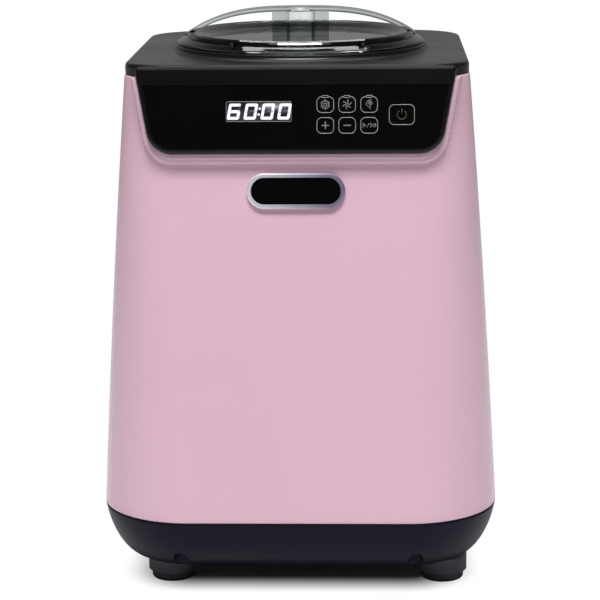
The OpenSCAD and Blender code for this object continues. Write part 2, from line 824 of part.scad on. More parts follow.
module compressor() color([0.08, 0.08, 0.09])
  translate([compressor_x, compressor_y, compressor_z]) {
    dome = [for (a = [0 : 15 : 90]) [compressor_r * cos(a), compressor_h - 22 + 22 * sin(a)]];
    rotate_extrude() polygon(concat([[0, 0], [compressor_r - 14, 0], [compressor_r - 4, 3],
      [compressor_r, 12]], dome));
    // welded band round the can
    translate([0, 0, compressor_h * 0.55]) cylinder(r = compressor_r + 1, h = 5);
    difference() {
      translate([0, 0, -bracket_t]) linear_extrude(bracket_t)
        round_plan(grommet_x + 10, -grommet_y - 10, grommet_y + 10, 10);
      for (x = [-1, 1]) for (y = [-1, 1])
        translate([x * grommet_x, y * grommet_y, -5]) cylinder(r = 5, h = 10);
    }
    // suction stub on the dome and discharge stub on the side
    translate([suction_at[0] - compressor_x, 0, compressor_h - 12])
      cylinder(r = pipe_r + 1, h = 16, $fn = 24);
    translate([discharge_x, compressor_r - 9, compressor_h - 30]) rotate([-90, 0, 0])
      cylinder(r = pipe_r + 1, h = 14, $fn = 24);
  }

module compressor_grommets() color([0.12, 0.12, 0.12])
  stud_places() translate([0, 0, floor_top]) rotate_extrude() difference() {
    union() {
      square([grommet_r, compressor_z - bracket_t - floor_top]);
      square([5 - running, compressor_z - floor_top + 3]);
      translate([0, compressor_z - floor_top]) square([grommet_r, 3]);
    }
    translate([-1, -1]) square([1 + stud_r + running, 40]);
  }

module compressor_studs() color("silver")
  stud_places() translate([0, 0, plate_z - 2.5]) {
    cylinder(r = nut_r, h = 2.5, $fn = 6);
    cylinder(r = stud_r, h = compressor_z - plate_z + 10);
    translate([0, 0, compressor_z - plate_z + 5.5]) cylinder(r = nut_r, h = 3, $fn = 6);
  }

module terminal_cover() color([0.05, 0.05, 0.06])
  difference() {
    translate([compressor_x - 16, compressor_y - compressor_r - 14, compressor_z + 34]) cube([32, 30, 44]);
    translate([compressor_x, compressor_y, compressor_z]) cylinder(r = compressor_r + 1, h = compressor_h);
    translate([compressor_x - 14, compressor_y - compressor_r - 12, compressor_z + 36]) cube([28, 30, 40]);
  }

function tube_level(i) = condenser_z + condenser_h * (i + 0.5) / tube_rows;
condenser_mid = condenser_y + condenser_d / 2;

module condenser_tubes() color("peru") {
  for (i = [0 : tube_rows - 1]) translate([condenser_x0 - 4, condenser_mid, tube_level(i)])
    rotate([0, 90, 0]) cylinder(r = cond_tube_r, h = condenser_w + 8, $fn = 32);
  bend = condenser_h / tube_rows / 2;
  for (i = [0 : tube_rows - 2]) {
    side = i % 2 == 0 ? 1 : -1;
    translate([fan_x + side * (condenser_w / 2 + 4), condenser_mid, tube_level(i) + bend])
      rotate([90, 0, 0]) rotate([0, 0, side > 0 ? -90 : 90])
        rotate_extrude(angle = 180, $fn = 48) translate([bend, 0]) circle(cond_tube_r, $fn = 32);
  }
}

module tube_holes() {
  for (k = [0 : tube_rows - 1]) translate([condenser_mid, tube_level(k)])
    circle(cond_tube_r + running, $fn = 32);
}

module condenser_fins() color("lightsteelblue") {
  count = floor((condenser_w - 4) / fin_pitch);
  for (i = [0 : count]) translate([fan_x + (i - count / 2) * fin_pitch, 0, 0])
    rotate([90, 0, 90]) linear_extrude(0.5, center = true) difference() {
      translate([condenser_y, condenser_z]) square([condenser_d, condenser_h]);
      tube_holes();
    }
}

module condenser_end_plates() color("lightgray")
  for (x = [-1, 1]) translate([fan_x + x * (condenser_w / 2 + 1), 0, 0]) rotate([90, 0, 90])
    linear_extrude(1.2, center = true) difference() {
      translate([condenser_y - 1, floor_top])
        square([condenser_d + 2, condenser_z + condenser_h + 2 - floor_top]);
      tube_holes();
    }

module at_fan(y) {
  translate([fan_x, y, fan_z]) rotate([-90, 0, 0]) children();
}

module fan_shroud() color([0.1, 0.1, 0.11]) {
  difference() {
    translate([fan_x - shroud_hw, shroud_y, floor_top])
      cube([2 * shroud_hw, shroud_t, fan_z + shroud_hw - floor_top]);
    at_fan(shroud_y - 1) cylinder(r = fan_r + 2, h = 5);
  }
  at_fan(spider_y) {
    ring(fan_r + 2, fan_r + 4, shroud_y - spider_y + 0.5);
    // three arms carry the motor
    ring(4, 14, spider_t);
    for (i = [0 : 2]) rotate(120 * i + 90) translate([12, -3, 0]) cube([fan_r - 9, 6, spider_t]);
  }
}

module fan_motor() color([0.15, 0.15, 0.16])
  difference() {
    at_fan(spider_y - fan_motor_h) cylinder(r = fan_motor_r, h = fan_motor_h);
    at_fan(fan_y - 20) cylinder(r = fan_shaft_r + running, h = 20, $fn = 32);
  }

module fan_shaft() color("silver")
  at_fan(fan_y - 19) cylinder(r = fan_shaft_r, h = 19 + fan_depth, $fn = 32);

module fan_blade() color([0.16, 0.16, 0.18])
  difference() {
    union() {
      at_fan(fan_y) cylinder(r = 12, h = fan_depth);
      for (i = [0 : fan_blades - 1]) at_fan(fan_y + fan_depth / 2) rotate(i * 360 / fan_blades)
        rotate([32, 0, 0]) translate([0, 0, -0.8]) linear_extrude(1.6) intersection() {
          translate([10, -9]) square([fan_r - 10, 18]);
          circle(fan_r - 1);
        }
    }
    at_fan(fan_y - 1) cylinder(r = fan_shaft_r, h = fan_depth + 2, $fn = 32);
  }

drier_x = fan_x - condenser_w / 2 - 32;
drier_y = condenser_mid;
drier_z = floor_top + 26;
drier_r = 9;
drier_cone = 7;
drier_body = 50;
drier_neck = 9;
drier_end = drier_cone + drier_body + drier_neck + 8;

module filter_drier() color("chocolate")
  translate([drier_x, drier_y, drier_z]) rotate_extrude($fn = 48)
    polygon([[0, -drier_neck], [pipe_r + 0.8, -drier_neck], [pipe_r + 0.8, 0], [drier_r, drier_cone],
      [drier_r, drier_cone + drier_body], [capillary_r + 1.4, drier_end - 8],
      [capillary_r + 1.4, drier_end], [0, drier_end]]);

module discharge_pipe() color("peru") {
  start_z = compressor_z + compressor_h - 30;
  end_z = tube_level(tube_rows - 1);
  x0 = compressor_x + discharge_x;
  run_y = condenser_y - 2;
  pipe([[x0, compressor_y + compressor_r + 5, start_z], [x0, run_y, start_z], [x0, run_y, end_z],
    [x0, condenser_mid, end_z], [condenser_x0 - 4, condenser_mid, end_z]], pipe_r);
}

module liquid_pipe() color("peru")
  pipe([[condenser_x0 - 4, condenser_mid, tube_level(0)], [drier_x + 16, condenser_mid, tube_level(0)],
    [drier_x + 16, condenser_mid, drier_z - drier_neck - 4],
    [drier_x, condenser_mid, drier_z - drier_neck - 4],
    [drier_x, condenser_mid, drier_z - drier_neck]], pipe_r);

module capillary_tube() color("peru") {
  run_z = frame_z - frame_t - 6;
  pipe([[drier_x, drier_y, drier_z + drier_end], [drier_x, drier_y, run_z], [capillary_at[0], drier_y, run_z],
    [capillary_at[0], capillary_at[1], run_z],
    [capillary_at[0], capillary_at[1], drum_z0 + 1.2]], capillary_r);
}

module suction_pipe() color("peru")
  pipe([[suction_at[0], compressor_y, compressor_z + compressor_h + 4],
    [suction_at[0], compressor_y, frame_z - 12], [suction_at[0], 0, frame_z - 12],
    [suction_at[0], 0, drum_z0 + 0.8]], pipe_r);

// ------------------------------------------------------------- electronics

module board_screw_spots() {
  for (x = [-1, 1]) for (z = [-1, 1]) translate([x * (board_w / 2 - 5), z * (board_h / 2 - 5)]) children();
}

module at_board(y) {
  translate([board_x, y, board_z + board_h / 2]) rotate([-90, 0, 0]) children();
}

module board_bracket() color("lightgray") {
  back_y = board_y - board_stand - bracket_sheet;
  at_board(back_y) linear_extrude(bracket_sheet) square([board_w + 6, board_h + 6], center = true);
  at_board(board_y - board_stand) linear_extrude(board_stand) board_screw_spots() circle(3, $fn = 32);
  translate([board_x - board_w / 2 - 3, back_y, floor_top]) {
    cube([board_w + 6, bracket_sheet, board_z - floor_top]);
    cube([board_w + 6, 22, bracket_sheet]);
  }
}

module power_board() color("darkgreen")
  at_board(board_y) linear_extrude(board_t) square([board_w, board_h], center = true);

module power_board_parts() color("goldenrod")
  at_board(board_y + board_t) {
    translate([-34, -20, 0]) cube([30, 26, 22]);
    translate([4, -30, 0]) cube([16, 20, 15]);
    translate([24, -30, 0]) cube([12, 14, 15]);
    translate([8, 8, 0]) cylinder(r = 8, h = 24, $fn = 48);
    translate([28, 6, 0]) cylinder(r = 5, h = 16, $fn = 48);
    translate([-32, 16, 0]) cube([50, 10, 10]);
  }

// ------------------------------------------------------------------- drive

// Involute spur gear standing on z = 0, with a tooth on +X
function involute(rb, t) =
  [rb * (cos(t) + t * PI / 180 * sin(t)), rb * (sin(t) - t * PI / 180 * cos(t))];
function turned(p, a) = [p[0] * cos(a) - p[1] * sin(a), p[0] * sin(a) + p[1] * cos(a)];

module gear_outline(m, teeth) {
  pitch_r = m * teeth / 2;
  base_r = pitch_r * cos(20);
  tip_r = pitch_r + 0.9 * m;
  root_r = pitch_r - 1.2 * m;
  roll = sqrt(pow(tip_r / base_r, 2) - 1) * 180 / PI;
  inv20 = (tan(20) - 20 * PI / 180) * 180 / PI;
  half = 90 / teeth - 0.055 * 180 / PI / pitch_r;
  flank = [for (i = [0 : 5]) turned(involute(base_r, roll * i / 5), -half - inv20)];
  mirrored = [for (i = [5 : -1 : 0]) [flank[i][0], -flank[i][1]]];
  foot_in = turned([root_r - 0.3, 0], -half - inv20);
  union() {
    circle(root_r);
    for (k = [0 : teeth - 1]) rotate(k * 360 / teeth)
      polygon(concat([foot_in], flank, mirrored, [[foot_in[0], -foot_in[1]]]));
  }
}

module gear(m, teeth, h, bore) {
  linear_extrude(h) difference() {
    gear_outline(m, teeth);
    circle(bore);
  }
}

module output_gear() color("whitesmoke") {
  translate([0, 0, stage_two_z]) rotate(train_angle + 180 / output_teeth)
    gear(stage_two_module, output_teeth, stage_two_t, spindle_r);
  // hub that reaches up to the housing
  translate([0, 0, stage_two_z + 1])
    ring(spindle_r, 12, gearbox_top - gearbox_plate - seam - stage_two_z - 1);
}

// The large wheel meets the pinion below it, the small one meets the output gear
module intermediate_gear() color("whitesmoke") {
  translate([mid_x, mid_y, stage_one_z]) rotate(-90 + 180 / large_teeth)
    gear(stage_one_module, large_teeth, stage_one_t, mid_shaft_r + running);
  translate([mid_x, mid_y, stage_one_z + stage_one_t]) rotate(train_angle + 180)
    gear(stage_two_module, small_teeth, stage_two_z + stage_two_t - stage_one_z - stage_one_t,
      mid_shaft_r + running);
}

module intermediate_shaft() color("silver")
  translate([mid_x, mid_y, gearbox_floor - cover_t])
    cylinder(r = mid_shaft_r, h = cover_t + gearbox_depth + 2);

module motor_pinion() color("silver") {
  translate([motor_x, motor_y, stage_one_z - 0.5]) rotate(90)
    gear(stage_one_module, pinion_teeth, stage_one_t + 1, motor_shaft_r);
  translate([motor_x, motor_y, gearbox_floor - cover_t - 18])
    cylinder(r = motor_shaft_r, h = cover_t + 18 + 12);
}

module gearbox_outline(grow) {
  hull() {
    circle(output_pitch_r + 3 + grow);
    translate([mid_x, mid_y]) circle(large_pitch_r + 3.5 + grow);
    translate([motor_x, motor_y]) circle(pinion_pitch_r + 5 + grow);
  }
}

// Screw bosses stand on the rim of the outline, two round each of the large wheels
module gearbox_screw_places() {
  for (a = [137, 213]) rotate(a) translate([output_pitch_r + 8.2, 0, 0]) children();
  for (a = [63, -23]) translate([mid_x, mid_y, 0])
    rotate(a) translate([large_pitch_r + 8.7, 0, 0]) children();
}

module gearbox_housing() color([0.2, 0.2, 0.22]) {
  height = gearbox_top - gearbox_floor;
  difference() {
    translate([0, 0, gearbox_floor]) union() {
      linear_extrude(height) gearbox_outline(3);
      gearbox_screw_places() cylinder(r = 4.5, h = height);
    }
    translate([0, 0, gearbox_floor - 1]) linear_extrude(gearbox_depth + 1) gearbox_outline(0);
    translate([0, 0, gearbox_floor]) cylinder(r = bearing_r, h = 60);
    translate([mid_x, mid_y, gearbox_top - gearbox_plate - 1]) cylinder(r = mid_shaft_r, h = 3);
    gearbox_screw_places() translate([0, 0, gearbox_floor - 1]) cylinder(r = 1.5, h = height + 2);
  }
}

module gearbox_cover() color([0.2, 0.2, 0.22])
  difference() {
    translate([0, 0, gearbox_floor - cover_t]) linear_extrude(cover_t) union() {
      gearbox_outline(3);
      gearbox_screw_places() circle(4.5);
    }
    translate([0, 0, spindle_z0]) cylinder(r = spindle_r + running, h = 10);
    translate([mid_x, mid_y, gearbox_floor - 10]) cylinder(r = mid_shaft_r, h = 20);
    translate([motor_x, motor_y, gearbox_floor - 10]) cylinder(r = 7, h = 20);
    gearbox_screw_places() translate([0, 0, gearbox_floor - 10]) cylinder(r = 1.5, h = 20);
  }

module gearbox_screws() color("silver")
  gearbox_screw_places() translate([0, 0, gearbox_floor - cover_t - 1.8])
    screw(3, 1.8, 1.5, cover_t + 1.8 + gearbox_top - gearbox_floor + frame_t);

module drive_motor() color([0.35, 0.35, 0.37]) {
  top = gearbox_floor - cover_t;
  difference() {
    translate([motor_x, motor_y, top - motor_h]) union() {
      cylinder(r = motor_r, h = motor_h - 4);
      cylinder(r = motor_r - 6, h = motor_h);
      translate([0, 0, -5]) cylinder(r = 10, h = 6);
      translate([0, 0, motor_h - 4]) cylinder(r = 6.8, h = 6.5);
    }
    translate([motor_x, motor_y, top - 20]) cylinder(r = motor_shaft_r + running, h = 30);
    // cooling slots round the motor's end bell
    for (i = [0 : 7]) translate([motor_x, motor_y, top - motor_h + 8]) rotate(i * 45)
      translate([motor_r - 2, -2.5, 0]) cube([6, 5, 14]);
  }
}

module drive_spindle() color("silver") {
  translate([0, 0, spindle_z0]) cylinder(r = spindle_r, h = hex_z0 - spindle_z0);
  translate([0, 0, hex_z0 - eps]) cylinder(r = hex_af / 2 / cos(30), h = hex_h + eps, $fn = 6);
}

module spindle_bearing() color("burlywood") {
  low = gearbox_top - gearbox_plate;
  translate([0, 0, low]) ring(spindle_r + running, bearing_r, drum_z1 - low);
}

module shaft_seal() color([0.1, 0.1, 0.1])
  translate([0, 0, drum_z1 + 0.1]) ring(spindle_r + running, seal_r, seal_h);

// --------------------------------------------------------------- cold well

module evaporator_drum() color("gainsboro")
  difference() {
    translate([0, 0, drum_z0]) cylinder(r = drum_r + drum_t, h = drum_top - drum_z0, $fn = 128);
    translate([0, 0, drum_z1]) cylinder(r = drum_r, h = drum_top, $fn = 128);
    translate([0, 0, drum_z0 - 1]) cylinder(r = bearing_r, h = 5);
  }

module evaporator_coil() color("peru") {
  low = drum_z0 + coil_tube_r + 1.2;
  high = deck_z - deck_t - sleeve_h - coil_tube_r - 2;
  for (i = [0 : coil_turns - 1])
    translate([0, 0, mix(low, high, i / (coil_turns - 1))])
      rotate_extrude() translate([coil_r, 0]) circle(coil_tube_r, $fn = 24);
  translate([0, coil_r, low]) cylinder(r = coil_tube_r, h = high - low, $fn = 24);
}

module insulation_jacket() color("ivory") {
  top = gasket_z - 2.5 - seam;
  difference() {
    translate([0, 0, frame_z]) cylinder(r = jacket_r, h = top - frame_z);
    translate([0, 0, drum_z0]) cylinder(r = jacket_bore_r, h = top);
    translate([0, 0, frame_z - 1]) cylinder(r = bearing_r + seam, h = 60);
    at_suction(frame_z - 1) cylinder(r = pipe_r + seam, h = 60);
    at_capillary(frame_z - 1) cylinder(r = capillary_r + seam, h = 60);
  }
}

module well_gasket() color([0.1, 0.1, 0.1])
  translate([0, 0, gasket_z]) ring(gasket_r0 + 0.1, gasket_r1 - 0.1, gasket_t);

// ----------------------------------------------------------- bowl and lid

module mixing_bowl() color("silver") {
  inner = [for (a = [0 : 15 : 90]) [bowl_r - 8 + 8 * cos(a), bowl_floor_z + 8 - 8 * sin(a)]];
  outer = [for (a = [90 : -15 : 0]) [bowl_outer_r - 9 + 9 * cos(a), bowl_z0 + 9 - 9 * sin(a)]];
  rotate_extrude($fn = 128) polygon(concat(
    [[bowl_r, bowl_seat_z + bowl_flange_t]], inner,
    [[tube_r + 3, bowl_floor_z], [tube_r, bowl_floor_z + 3], [tube_r, tube_z], [tube_r - 1.6, tube_z],
     [tube_r - 1.6, bowl_z0]], outer,
    [[bowl_outer_r, bowl_seat_z], [bowl_flange_r, bowl_seat_z],
     [bowl_flange_r, bowl_seat_z + bowl_flange_t]]));
}

// Frame blade: a floor scraper, an upright wall scraper and a tie bar
module blade_outline() {
  reach = bowl_r - 0.9;
  low = bowl_floor_z + 0.8;
  high = skirt_z - 3;
  difference() {
    polygon([[tube_r + 5, low], [reach - 9, low], [reach, low + 9], [reach, high], [reach - 5, high],
      [tube_r + 2, tube_z + 8], [tube_r + 2, low + 5]]);
    polygon([[tube_r + 8, low + 22], [reach - 14, low + 13], [reach - 9, low + 20], [reach - 9, high - 14],
      [tube_r + 8, tube_z - 2]]);
  }
}

module paddle() color("whitesmoke") {
  difference() {
    union() {
      translate([0, 0, bowl_floor_z + 4])
        cylinder(r = tube_r + 3.2, h = hex_z0 + hex_h - bowl_floor_z);
      translate([0, 0, hex_z0 + hex_h + 3]) cylinder(r1 = tube_r + 3.2, r2 = 8, h = 8);
      translate([0, 0, hex_z0 + hex_h + 10]) cylinder(r = 8, h = socket_z - 0.6 - hex_z0 - hex_h - 10);
      translate([0, 0, socket_z - 2]) cylinder(r = socket_r - 0.4, h = floor_z - lid_t - 1.4 - socket_z + 2);
      for (s = [0, 1]) rotate(180 * s) rotate([90, 0, 0]) translate([0, 0, -blade_t / 2])
        linear_extrude(blade_t) blade_outline();
    }
    translate([0, 0, bowl_floor_z]) cylinder(r = tube_r + 0.4, h = hex_z0 - bowl_floor_z);
    translate([0, 0, hex_z0 - 1]) cylinder(r = (hex_af / 2 + 0.25) / cos(30), h = hex_h + 2, $fn = 6);
  }
}

// Section of the dished lid, from the middle of its top out to the rim and back underneath
module lid_section() {
  polygon([[0, floor_z], [62, floor_z], [64.8, floor_z + 0.6], [73.8, crest_z - 0.4], [74.6, crest_z],
    [76, crest_z], [77.6, crest_z - 0.9], [78.6, crest_z - 2.2], [79, crest_z - 3.6], [81, crest_z - 4.6],
    [lid_r - 0.9, lid_z + 2], [lid_r, lid_z + 1], [lid_r, lid_z], [lid_r - 3.6, lid_z],
    [78.4, lid_z + 1.6], [77, lid_z + 3], [76, crest_z - lid_t], [74.8, crest_z - lid_t],
    [65.8, floor_z + 0.8 - lid_t], [62, floor_z - lid_t], [0, floor_z - lid_t]]);
}

module arch_outline() {
  top = [for (i = [-20 : 20]) [i * arch_half / 20, arch_level(i * arch_half / 20)]];
  under = [for (i = [20 : -1 : -20]) [i * arch_half / 20, arch_level(i * arch_half / 20) - arch_t]];
  polygon(concat(top, under));
}

module lid() color([0.75, 0.78, 0.75, 0.5])
  difference() {
    union() {
      rotate_extrude($fn = 128) lid_section();
      translate([0, 0, skirt_z]) ring(skirt_r - 2, skirt_r, floor_z - skirt_z - 1);
      translate([0, 0, floor_z - lid_t - 1]) ring(skirt_r - 2, skirt_r, 4);
      rotate([90, 0, 0]) linear_extrude(arch_w, center = true) arch_outline();
      translate([0, 0, floor_z - 1])
        cylinder(r = column_r, h = arch_level(column_r) - arch_t / 2 - floor_z + 1);
      translate([0, 0, socket_z]) cylinder(r = column_r, h = floor_z - socket_z - 1);
      // side ribs of the column
      for (x = [-1, 1]) translate([x * 14.4 - 5, -1.5, floor_z - 1])
        cube([10, 3, arch_level(19.4) - arch_t / 2 - floor_z + 1]);
      // small lugs on the step of the rim
      for (a = [-122, -58, 58, 122]) rotate(a) translate([78, -1.5, lid_z + 3]) cube([3.4, 3, 3.4]);
    }
    translate([0, 0, floor_z]) cylinder(r = column_bore_r, h = arch_z - arch_t - 0.6 - floor_z);
    translate([0, 0, socket_z - 1]) cylinder(r = socket_r, h = floor_z - lid_t + 1 - socket_z);
  }

module lid_seal() color([0.8, 0.8, 0.8])
  translate([0, 0, skirt_z + 1.5]) ring(skirt_r, bowl_r - rest, 3);

housing_shell();
rear_cover();
rear_cover_screws();
cord_gland();
top_deck();
deck_screws();
control_panel_glass();
display_module();
display_board();
display_board_screws();
badge_bezel();
badge_insert();
base_tray();
base_screws();
foot_front_left();
foot_front_right();
foot_rear_left();
foot_rear_right();
foot_screws();
chassis_plate();
support_frame();
compressor();
compressor_grommets();
compressor_studs();
terminal_cover();
condenser_tubes();
condenser_fins();
condenser_end_plates();
fan_shroud();
fan_motor();
fan_shaft();
fan_blade();
filter_drier();
discharge_pipe();
liquid_pipe();
capillary_tube();
suction_pipe();
power_board();
power_board_parts();
board_bracket();
gearbox_housing();
gearbox_cover();
gearbox_screws();
output_gear();
intermediate_gear();
intermediate_shaft();
motor_pinion();
drive_motor();
drive_spindle();
spindle_bearing();
shaft_seal();
evaporator_drum();
evaporator_coil();
insulation_jacket();
well_gasket();
mixing_bowl();
paddle();
lid();
lid_seal();
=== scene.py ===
import math

import bmesh
import bpy
import numpy as np
from mathutils import Matrix, Vector


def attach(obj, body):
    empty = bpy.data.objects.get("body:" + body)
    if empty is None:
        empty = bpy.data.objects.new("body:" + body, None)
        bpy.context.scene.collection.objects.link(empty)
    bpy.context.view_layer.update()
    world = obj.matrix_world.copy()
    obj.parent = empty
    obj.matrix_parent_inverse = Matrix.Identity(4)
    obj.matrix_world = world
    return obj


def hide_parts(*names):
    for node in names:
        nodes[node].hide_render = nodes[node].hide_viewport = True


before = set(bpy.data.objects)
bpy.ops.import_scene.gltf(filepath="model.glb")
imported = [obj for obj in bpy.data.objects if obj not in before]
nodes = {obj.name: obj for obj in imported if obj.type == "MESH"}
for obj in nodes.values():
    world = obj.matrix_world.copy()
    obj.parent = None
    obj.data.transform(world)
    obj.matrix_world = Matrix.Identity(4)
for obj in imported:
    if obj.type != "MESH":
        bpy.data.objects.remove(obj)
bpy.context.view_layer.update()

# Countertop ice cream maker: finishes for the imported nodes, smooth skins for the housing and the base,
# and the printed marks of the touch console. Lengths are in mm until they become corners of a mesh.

MM = 0.001


# ---------------------------------------------------------------- dimensions, mm unless stated

BASE_W, BASE_D = 263.0, 294.0          # housing at its lower edge
TOP_W, TOP_FRONT, TOP_REAR = 225.0, 108.0, 121.0    # housing at its upper edge
SHELL_Z0, SHELL_Z1 = 51.8, 338.0       # lower and upper edge of the housing
BASE_CORNER_R, FRONT_CORNER_R, REAR_CORNER_R = 60.0, 28.0, 38.0
SIDE_BULGE = 1.0                       # how far the sides bow out halfway up
SHELL_WALL = 1.2
SKIN_WALL = SHELL_WALL * 0.9           # the smooth sheet, a little thinner to stay clear of its neighbours
SHELL_EDGE_R = 0.9                     # rolled edges of the housing
SHELL_FLANGE, SHELL_LIP = 18.0, 8.0    # how far the sheet turns inward at its lower and its upper edge
# Openings of the housing, at the rear and behind the display: where they lie, half width, and levels
REAR_OPENING_Y, REAR_OPENING_HW, REAR_OPENING_Z = 100.0, 64.0, (93.0, 310.0)
WINDOW_Y, WINDOW_HW, WINDOW_Z = -90.0, 74.0, (302.0, 331.0)
DECK_Z = 346.2                         # top face of the deck
BROW_Y = 113.0                         # reach of the deck's front edge, where the console begins
CONSOLE_ROOT_Y = -105.0                # the console's moulding lies in front of this plane
COLUMN_FOOT_Z, COLUMN_R = 354.5, 10.2  # middle column of the lid
CREST_Z = 357.6                        # the lid's arch rises above this level
CONSOLE_TILT = math.radians(10.2)
CONSOLE_HW, CONSOLE_H = 102.8, 56.0    # console outline in its own plane
CONSOLE_CORNER_R, CONSOLE_CORNER_X = 17.0, 78.9     # its low corners: radius and middle
CONSOLE_TOP_R = 3.0
BADGE_REFLECTION_SPAN = (-34.0, 30.0)             # across the badge, where the chrome's painted reflection goes from pale to dark
SEAT_GROW, SEAT_DROP = 1.5, 4.5        # the raised seat behind the console reaches past its outline
SEAT_REACH_Z = 270.0                   # the housing is plain below this level
GLASS_FACE = -0.3                      # outer face of the console's glass
TRAY_Z1, TRAY_H, TRAY_TAPER, TRAY_ROUND = 51.5, 35.0, 5.5, 17.5    # base tray below the housing
TRAY_SET_BACK = 0.2                    # the tray's top edge lies this far inside the housing's edge
SCREW_WELL_X, SCREW_WELL_Y, SCREW_WELL_R = 77.3, 134.2, 4.7     # wells of the base's four screws
SCREW_WELL_TOP, SCREW_WELL_H = 31.5, 40.0

# Faces that meet at less than this angle are shaded as one
NODE_SMOOTH_ANGLE, PIECE_SMOOTH_ANGLE = math.radians(32), math.radians(35)

CAMERA_DISTANCE = 1500.0
CAMERA_X, CAMERA_Z = 50.426, 503.956
CAMERA_YAW, CAMERA_PITCH, CAMERA_ROLL = -0.035, 0.22, -0.009
FOCAL_PIXELS, PHOTO_PIXELS = 2183.77, 600.0

# Strength of the world, in front of the object and behind it: what lights it, and what its gloss mirrors.
# One turns into the other between two values of Y, which is -1 straight in front and 1 straight behind.
LIGHT_FRONT, LIGHT_BACK, LIGHT_TURN = 0.09, 0.8, (0.5, 1.0)
MIRROR_FRONT, MIRROR_BACK, MIRROR_TURN = 0.08, 0.31, (0.5, 0.97)
FLOOR_HALF = 4.0                       # half the floor's side, metres
FLOOR_COLOUR = (0.72, 0.72, 0.74, 1)
SHADOW_EDGE = (-46.0, -8.0)            # the floor goes over to white between these distances from the base: a painted fade at the outer edge of its shadow

# Soft boxes: name, place, target, width, height in metres, and power in watts
SOFT_BOXES = (
    ("light_front", (0, -1.03, 2.6), (0, 0, 0.2), 1.3, 0.55, 80),
    ("light_top", (0, -0.3, 2.3), (0, 0, 0.3), 1.5, 1.2, 10),
    ("light_rear", (0, 1.2, 2.4), (0, 0, 0.2), 1.6, 0.6, 16),
)


# ---------------------------------------------------------------- camera, stage, light

def add_camera():
    forward = Vector((math.sin(CAMERA_YAW) * math.cos(CAMERA_PITCH),
                      math.cos(CAMERA_YAW) * math.cos(CAMERA_PITCH), -math.sin(CAMERA_PITCH)))
    level = Vector((math.cos(CAMERA_YAW), -math.sin(CAMERA_YAW), 0))
    up = level.cross(forward)
    right = level * math.cos(CAMERA_ROLL) + up * math.sin(CAMERA_ROLL)
    up = up * math.cos(CAMERA_ROLL) - level * math.sin(CAMERA_ROLL)
    data = bpy.data.cameras.new("camera")
    data.sensor_width = 36
    data.lens = FOCAL_PIXELS / PHOTO_PIXELS * data.sensor_width
    data.clip_end = 50
    camera = bpy.data.objects.new("camera", data)
    camera.matrix_world = Matrix((
        (right.x, up.x, -forward.x, CAMERA_X * MM),
        (right.y, up.y, -forward.y, -CAMERA_DISTANCE * MM),
        (right.z, up.z, -forward.z, CAMERA_Z * MM),
        (0, 0, 0, 1)))
    bpy.context.scene.collection.objects.link(camera)
    bpy.context.scene.camera = camera


def link_math(tree, operation, first, second):
    """A math node; its inputs are sockets or numbers."""
    node = tree.nodes.new("ShaderNodeMath")
    node.operation = operation
    for socket, value in zip(node.inputs, (first, second)):
        if isinstance(value, (int, float)):
            socket.default_value = value
        else:
            tree.links.new(value, socket)
    return node.outputs[0]


def map_range(tree, value, low, high, to_low, to_high, smooth=False):
    node = tree.nodes.new("ShaderNodeMapRange")
    node.interpolation_type = "SMOOTHSTEP" if smooth else "LINEAR"
    for name, number in (("From Min", low), ("From Max", high), ("To Min", to_low), ("To Max", to_high)):
        node.inputs[name].default_value = number
    tree.links.new(value, node.inputs["Value"])
    return node.outputs["Result"]


def set_world():
    """White backdrop where the camera sees it, also through the lid; the rest of the light is dimmer."""
    world = bpy.data.worlds.new("studio")
    bpy.context.scene.world = world
    world.use_nodes = True
    tree = world.node_tree
    back = tree.nodes["Background"]
    back.inputs["Color"].default_value = (1, 1, 1, 1)
    path = tree.nodes.new("ShaderNodeLightPath")
    reflected = link_math(tree, "MINIMUM", path.outputs["Glossy Depth"], 1.0)
    through = link_math(tree, "SUBTRACT", path.outputs["Is Transmission Ray"], reflected)
    shown = link_math(tree, "MAXIMUM", path.outputs["Is Camera Ray"], through)
    place = tree.nodes.new("ShaderNodeTexCoord")
    axes = tree.nodes.new("ShaderNodeSeparateXYZ")
    tree.links.new(place.outputs["Generated"], axes.inputs[0])
    mirrored = map_range(tree, axes.outputs["Y"], *MIRROR_TURN, MIRROR_FRONT, MIRROR_BACK, smooth=True)
    soft = map_range(tree, axes.outputs["Y"], *LIGHT_TURN, LIGHT_FRONT, LIGHT_BACK, smooth=True)
    unseen = tree.nodes.new("ShaderNodeMix")
    tree.links.new(soft, unseen.inputs["A"])
    tree.links.new(reflected, unseen.inputs["Factor"])
    tree.links.new(mirrored, unseen.inputs["B"])
    strength = tree.nodes.new("ShaderNodeMix")
    strength.inputs["B"].default_value = 1.0
    tree.links.new(shown, strength.inputs["Factor"])
    tree.links.new(unseen.outputs["Result"], strength.inputs["A"])
    tree.links.new(strength.outputs["Result"], back.inputs["Strength"])


def distance_from_base(tree):
    """Distance on the floor from the housing's outline, metres."""
    place = tree.nodes.new("ShaderNodeTexCoord")
    axes = tree.nodes.new("ShaderNodeSeparateXYZ")
    tree.links.new(place.outputs["Object"], axes.inputs[0])
    squares = []
    for axis, size in (("X", BASE_W), ("Y", BASE_D)):
        reach = link_math(tree, "ABSOLUTE", axes.outputs[axis], 0.0)
        past = link_math(tree, "SUBTRACT", reach, (size / 2 - BASE_CORNER_R) * MM)
        past = link_math(tree, "MAXIMUM", past, 0.0)
        squares.append(link_math(tree, "POWER", past, 2.0))
    total = link_math(tree, "ADD", *squares)
    return link_math(tree, "SUBTRACT", link_math(tree, "SQRT", total, 0.0), BASE_CORNER_R * MM)


